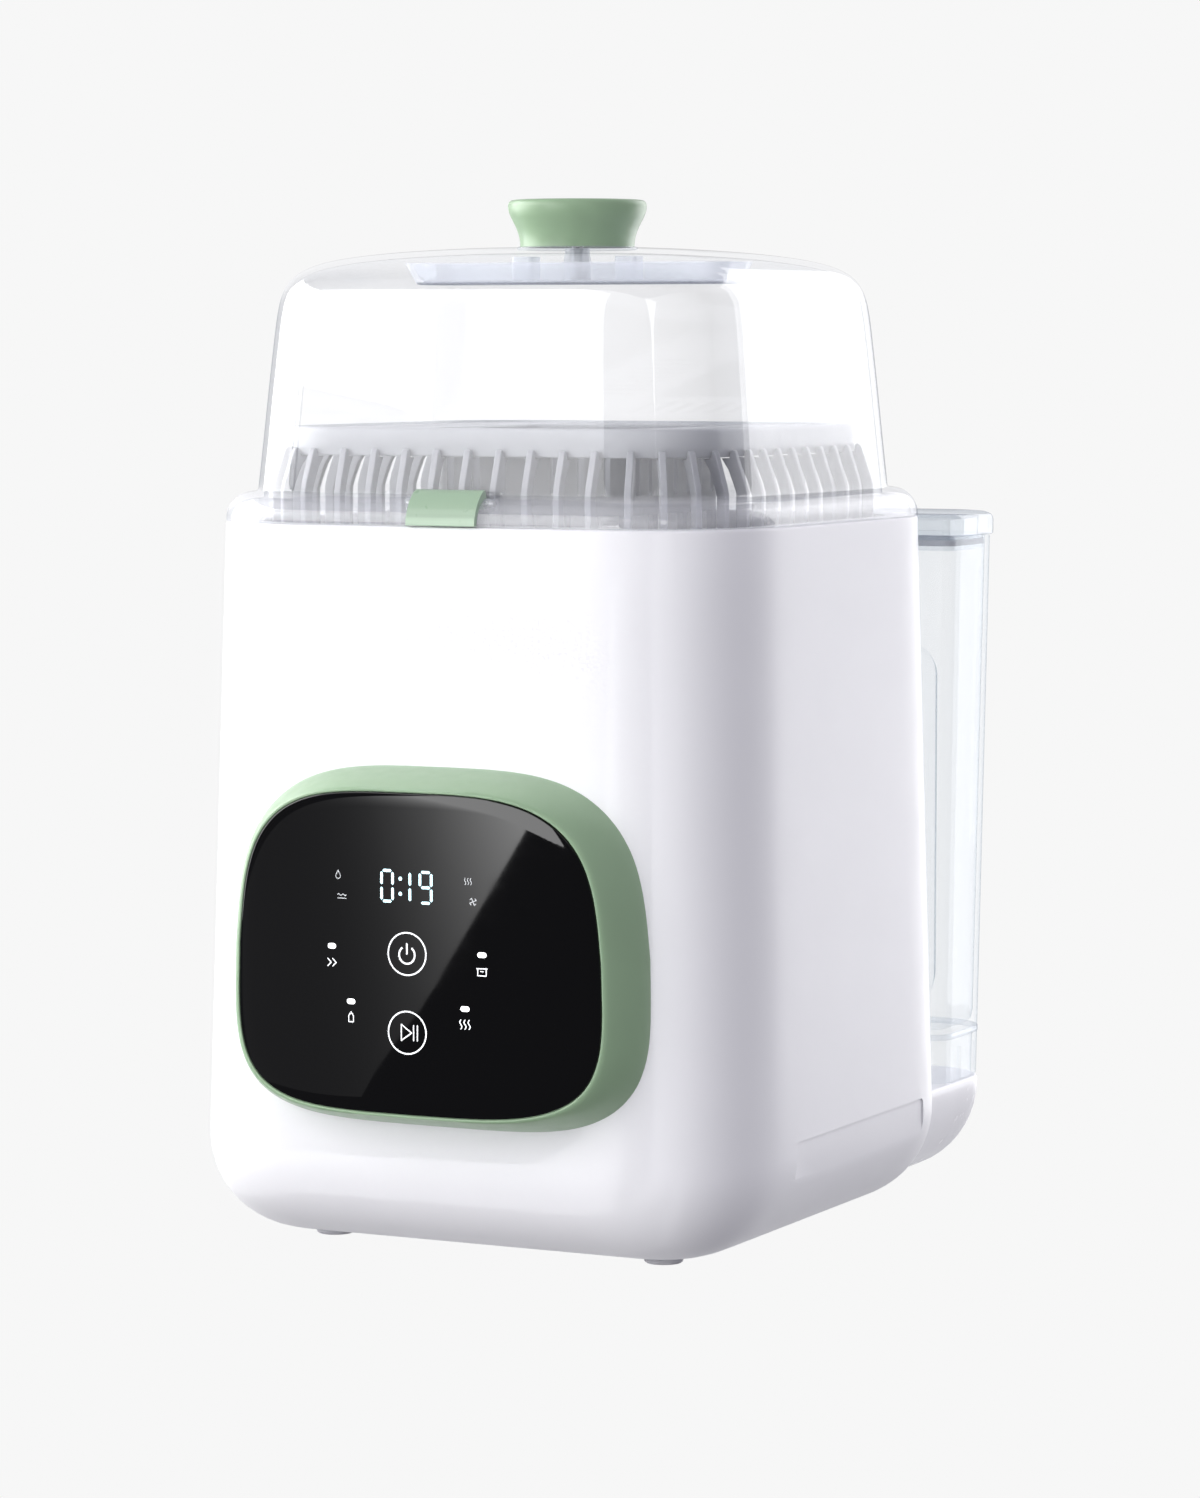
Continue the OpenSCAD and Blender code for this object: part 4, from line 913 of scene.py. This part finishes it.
def make_tank(s, side):
    t = 2.2
    body = bmesh.new()
    rows = [tank_ring(TANK_LOW, -0.3, s), tank_ring(TANK_LOW + 0.4, 0, s)]
    rows += [tank_ring(z, 0, s) for z in (60, 67.0, 67.6, 68.2, 69, 100, 140, 180, 220, 260, 280, 286)]
    rows += [tank_ring(TANK_TOP, -0.4, s), tank_ring(TANK_TOP, -t + 0.3, s), tank_ring(286, -t, s)]
    rows += [tank_ring(z, -t, s) for z in (260, 220, 180, 140, 100, 76)]
    rows += [tank_ring(72, -t - 0.8, s), tank_ring(70.6, -t - 2.4, s), tank_ring(70.2, -t - 4.5, s)]
    loops = loops_of(body, rows)
    for a, b in zip(loops, loops[1:]):
        skin(body, a, b)
    body.faces.new(loops[-1])
    under = [tank_ring(TANK_LOW, -t + 0.3, s), tank_ring(TANK_LOW + 0.4, -t, s), tank_ring(66.5, -t, s),
             tank_ring(67.6, -t - 1, s),
             tank_ring(68, -t - 3, s)]
    inner = loops_of(body, under)
    for a, b in zip([loops[0]] + inner, inner):
        skin(body, a, b)
    body.faces.new(inner[-1])
    hole = bmesh.new()
    lathe(hole, [(4.1, 60), (4.1, 78)], (s * 69, 158), 40)
    for y in (146, 166):
        block(hole, (min(s * 106, s * 125), y, 40), (max(s * 106, s * 125), y + 2.5, 62))
    body = cut(body, hole)
    finish(side + "_tank_wall", body, side + "_tank_body", "clear_tank", [side + "_tank"], sharp=35)

    band = bmesh.new()                           # the thickened band where the foot begins
    loft(band, [tank_ring(66.4, 0.02, s), tank_ring(66.8, 0.25, s), tank_ring(68.4, 0.25, s),
                tank_ring(68.9, 0.02, s),
                tank_ring(68.9, -1.2, s), tank_ring(66.4, -1.2, s)], closed=True)
    finish(side + "_tank_band", band, side + "_tank_body", "clear_tank_foot", [side + "_tank"],
           sharp=60)

    grip = bmesh.new()                           # a round-topped finger recess moulded into the front wall
    path = []
    x0, x1, z0, z1, r = 62.0, 109.0, 82.0, 240.0, 12.0
    for cx, cz, start in ((x1 - r, z1 - r, 0), (x0 + r, z1 - r, 90), (x0 + r, z0 + r, 180),
                          (x1 - r, z0 + r, 270)):
        path += [(cx + r * math.cos(math.radians(start + 15 * k)),
                  cz + r * math.sin(math.radians(start + 15 * k))) for k in range(7)]
    cx, cz = (x0 + x1) / 2, (z0 + z1) / 2
    rows = []
    for grow, y in ((0.0, TY0 + 2.3), (-0.8, TY0 + 3.2), (-2.2, TY0 + 8.5), (-3.4, TY0 + 10.6),
                    (-5.5, TY0 + 11.4), (-11.0, TY0 + 11.5)):
        rows.append([(s * (cx + (x - cx) * (1 + grow / (x1 - cx))), y, cz + (z - cz) * (1 + grow / (z1 - cz)))
                     for x, z in path])
    loft(grip, rows, caps=(False, True))
    finish(side + "_tank_recess", grip, side + "_tank_body", "clear_tank", [side + "_tank"], sharp=50)

    cover = bmesh.new()
    # (growth past the tank, height over its top) up the outside, then down the inside
    lip = [(0.9, 0.3), (1.35, 0.6), (1.5, 1.1), (1.5, 7.0), (1.25, 8.0), (0.5, 8.9), (-0.7, 9.6),
           (-2.4, 10.1),
           (-7.9, 10.5)]
    under = [(-7.9, 8.3), (-4.5, 8.1), (-5.2, 7.4), (-5.2, -5.6), (-4.9, -6.0), (-3.5, -6.0), (-3.2, -5.5),
             (-3.2, 0.6), (0.4, 0.3)]
    rows = [tank_ring(TANK_TOP, grow, s, lift=TANK_TOP + up) for grow, up in lip + under]
    hollow(cover, rows, len(lip) - 1)
    finish(side + "_tank_cover", cover, side + "_cover", "clear_cover", [side + "_tank_lid"],
           sharp=40)


make_tank(1, "clean")
make_tank(-1, "waste")

# ---------------------------------------------------------------------------------------- carried CAD nodes

SLOT_OF = {p["node"]: p["material_slot"] for p in frame["record"]["subparts"]}
for node, obj in frame["nodes"].items():
    mat = M["basin_finish"] if node == "wash_basin" else M.get(SLOT_OF[node])
    if mat is None:
        continue
    obj.data.materials.clear()
    obj.data.materials.append(mat)

# ---------------------------------------------------------------------------------------- stage and light

BACKDROP = 0.93


def ground():
    bm = bmesh.new()
    steps = 12
    grid = [[bm.verts.new(at((i - steps / 2) * 2000, (j - steps / 2) * 2000, -0.4)) for i in range(steps + 1)]
            for j in range(steps + 1)]
    for j in range(steps):
        for i in range(steps):
            bm.faces.new((grid[j][i], grid[j][i + 1], grid[j + 1][i + 1], grid[j + 1][i]))
    mesh = bpy.data.meshes.new("floor")
    bm.to_mesh(mesh)
    bm.free()
    o = bpy.data.objects.new("floor", mesh)
    bpy.context.scene.collection.objects.link(o)
    m = bpy.data.materials.new("floor")
    m.use_nodes = True
    net = Net(m.node_tree)
    net.nt.nodes.clear()
    dim = net.node("Emission", (0.20, 0.195, 0.225, 1))
    shown = net.node("Emission", (BACKDROP, BACKDROP, BACKDROP, 1))
    mix = net.node("MixShader", net.node("LightPath").outputs["Is Camera Ray"], dim.outputs[0],
                   shown.outputs[0])
    net.node("OutputMaterial", mix.outputs[0])
    mesh.materials.append(m)
    o.visible_glossy = False
    o.visible_shadow = False


ground()

world = bpy.data.worlds.new("studio")
bpy.context.scene.world = world
world.use_nodes = True
sky = Net(world.node_tree)
sky.nt.nodes.clear()
# mirrors see a dark room in front of the object and a pale one behind it
depth = sky.xyz(sky.node("TexCoord").outputs["Generated"])["Y"]
room = sky.ramp(depth, [(place, (v, v, v * 1.04)) for place, v in ((0.3, 0.09), (0.8, 0.85))])
lit, mirrored, behind = (sky.node("Background", feed).outputs[0] for feed in (
    (0.77, 0.76, 0.835, 1), room, (BACKDROP, BACKDROP, BACKDROP, 1)))
ray = sky.node("LightPath").outputs
unseen = sky.node("MixShader", ray["Is Glossy Ray"], lit, mirrored)
sky.node("OutputWorld", sky.node("MixShader", ray["Is Camera Ray"], unseen.outputs[0], behind).outputs[0])


def softbox(name, place, target, width, height, radiance, glossy=True):
    """A soft rectangular light at place, aimed at target (in millimetres), with a given brightness."""
    light = bpy.data.lights.new(name, "AREA")
    light.shape = "RECTANGLE"
    light.size, light.size_y = width * MM, height * MM
    light.energy = radiance * PI * width * height * MM * MM
    o = bpy.data.objects.new(name, light)
    o.location = at(*place)
    o.rotation_euler = (Vector(target) - Vector(place)).to_track_quat("-Z", "Y").to_euler()
    o.visible_camera = False
    o.visible_glossy = glossy
    bpy.context.scene.collection.objects.link(o)
    return o


def around(azimuth, elevation, distance):
    """A point about the object's middle. Azimuth 0 is straight in front, growing to the right."""
    a, e = math.radians(azimuth), math.radians(elevation)
    return (math.sin(a) * math.cos(e) * distance, -math.cos(a) * math.cos(e) * distance,
            210 + math.sin(e) * distance)


MIDDLE = (0, 0, 210)
softbox("key_front", around(-33, 21, 1550), MIDDLE, 1130, 1070, 2.6, glossy=False)
softbox("fill_low", around(-25, -12, 1500), MIDDLE, 1200, 500, 8.5, glossy=False)
softbox("side_left", around(-85, 16, 1400), MIDDLE, 1250, 1200, 5.2)
softbox("rim_right", around(164, 12, 1400), MIDDLE, 1000, 1430, 2.15)
softbox("fill_back", around(150, -6, 1400), (0, 150, 60), 900, 400, 3.2, glossy=False)

# A dim graded card, tilted, that puts the slanting gloss on the panel's glass. Nothing else is lit by it.
CARD_AZ, CARD_D, CARD_TILT = math.radians(-27), 1100.0, math.radians(19.76)
across = Vector((math.cos(CARD_AZ), math.sin(CARD_AZ), 0))
outward = Vector((math.sin(CARD_AZ), -math.cos(CARD_AZ), 0))
up = -across * math.sin(CARD_TILT) + Vector((0, 0, 1)) * math.cos(CARD_TILT)
middle = outward * CARD_D + Vector((0, 0, -51.6)) + up * 160
card = softbox("gloss_card", middle, middle - outward, 1300, 320, 1.0)
side_axis = across * math.cos(CARD_TILT) + Vector((0, 0, 1)) * math.sin(CARD_TILT)
card.rotation_euler = Matrix((side_axis, up, side_axis.cross(up))).transposed().to_euler()
card.visible_diffuse = False
card.data.use_nodes = True
net = Net(card.data.node_tree)
position = net.node("NewGeometry").outputs["Position"]
dot = net.node("VectorMath", position, across, operation="DOT_PRODUCT").outputs["Value"]
along = net.math("SUBTRACT", dot, at(0, 0, 0).dot(across))
fall = net.math("ADD", net.math("MULTIPLY", along, 9.217),
                net.math("MULTIPLY", net.xyz(position)["Z"], 7.435))
bend = net.math("MULTIPLY", net.math("MULTIPLY", along, along), 8.73)
fall = net.math("SUBTRACT", net.math("ADD", fall, -1.222), bend)
graded = net.math("MINIMUM", net.math("ADD", net.math("EXPONENT", fall), 0.13), 4.8)
through = net.node("LightPath").outputs["Transparent Depth"]
net.emit(net.math("MULTIPLY", graded, net.math("LESS_THAN", through, 0.5)))


def veil(name, place, width, axis, low, high, start, end):
    """A broad card that whitens the clear lid, fading along one axis.

    Only sight lines that have already passed a clear face see it.
    """
    o = softbox(name, place, MIDDLE, width, 1150, 1.0)
    o.visible_diffuse = False
    o.data.use_nodes = True
    net = Net(o.data.node_tree)
    way = net.xyz(net.node("NewGeometry").outputs["Position"])[axis]
    fade = net.node("MapRange", way, From_Min=low, From_Max=high, To_Min=start, To_Max=end).outputs["Result"]
    inside = net.math("GREATER_THAN", net.node("LightPath").outputs["Transparent Depth"], 0.5)
    net.emit(net.math("MULTIPLY", fade, inside))


veil("veil_front", around(-18, 26, 1700), 3700, "X", -0.6, 1.2, 2.6, 2.1)
veil("veil_side", around(68, 26, 1700), 2500, "Y", -1.7, 0.5, 2.1, 0.2)

for name in ("bezel", "panel_glass"):
    bpy.data.objects[name].visible_shadow = False

scene = bpy.context.scene
scene.view_settings.view_transform = "Standard"
scene.view_settings.look = "None"
scene.cycles.use_denoising = True
scene.cycles.transparent_max_bounces = 40
scene.cycles.max_bounces = 14
scene.cycles.caustics_reflective = False
scene.cycles.caustics_refractive = False
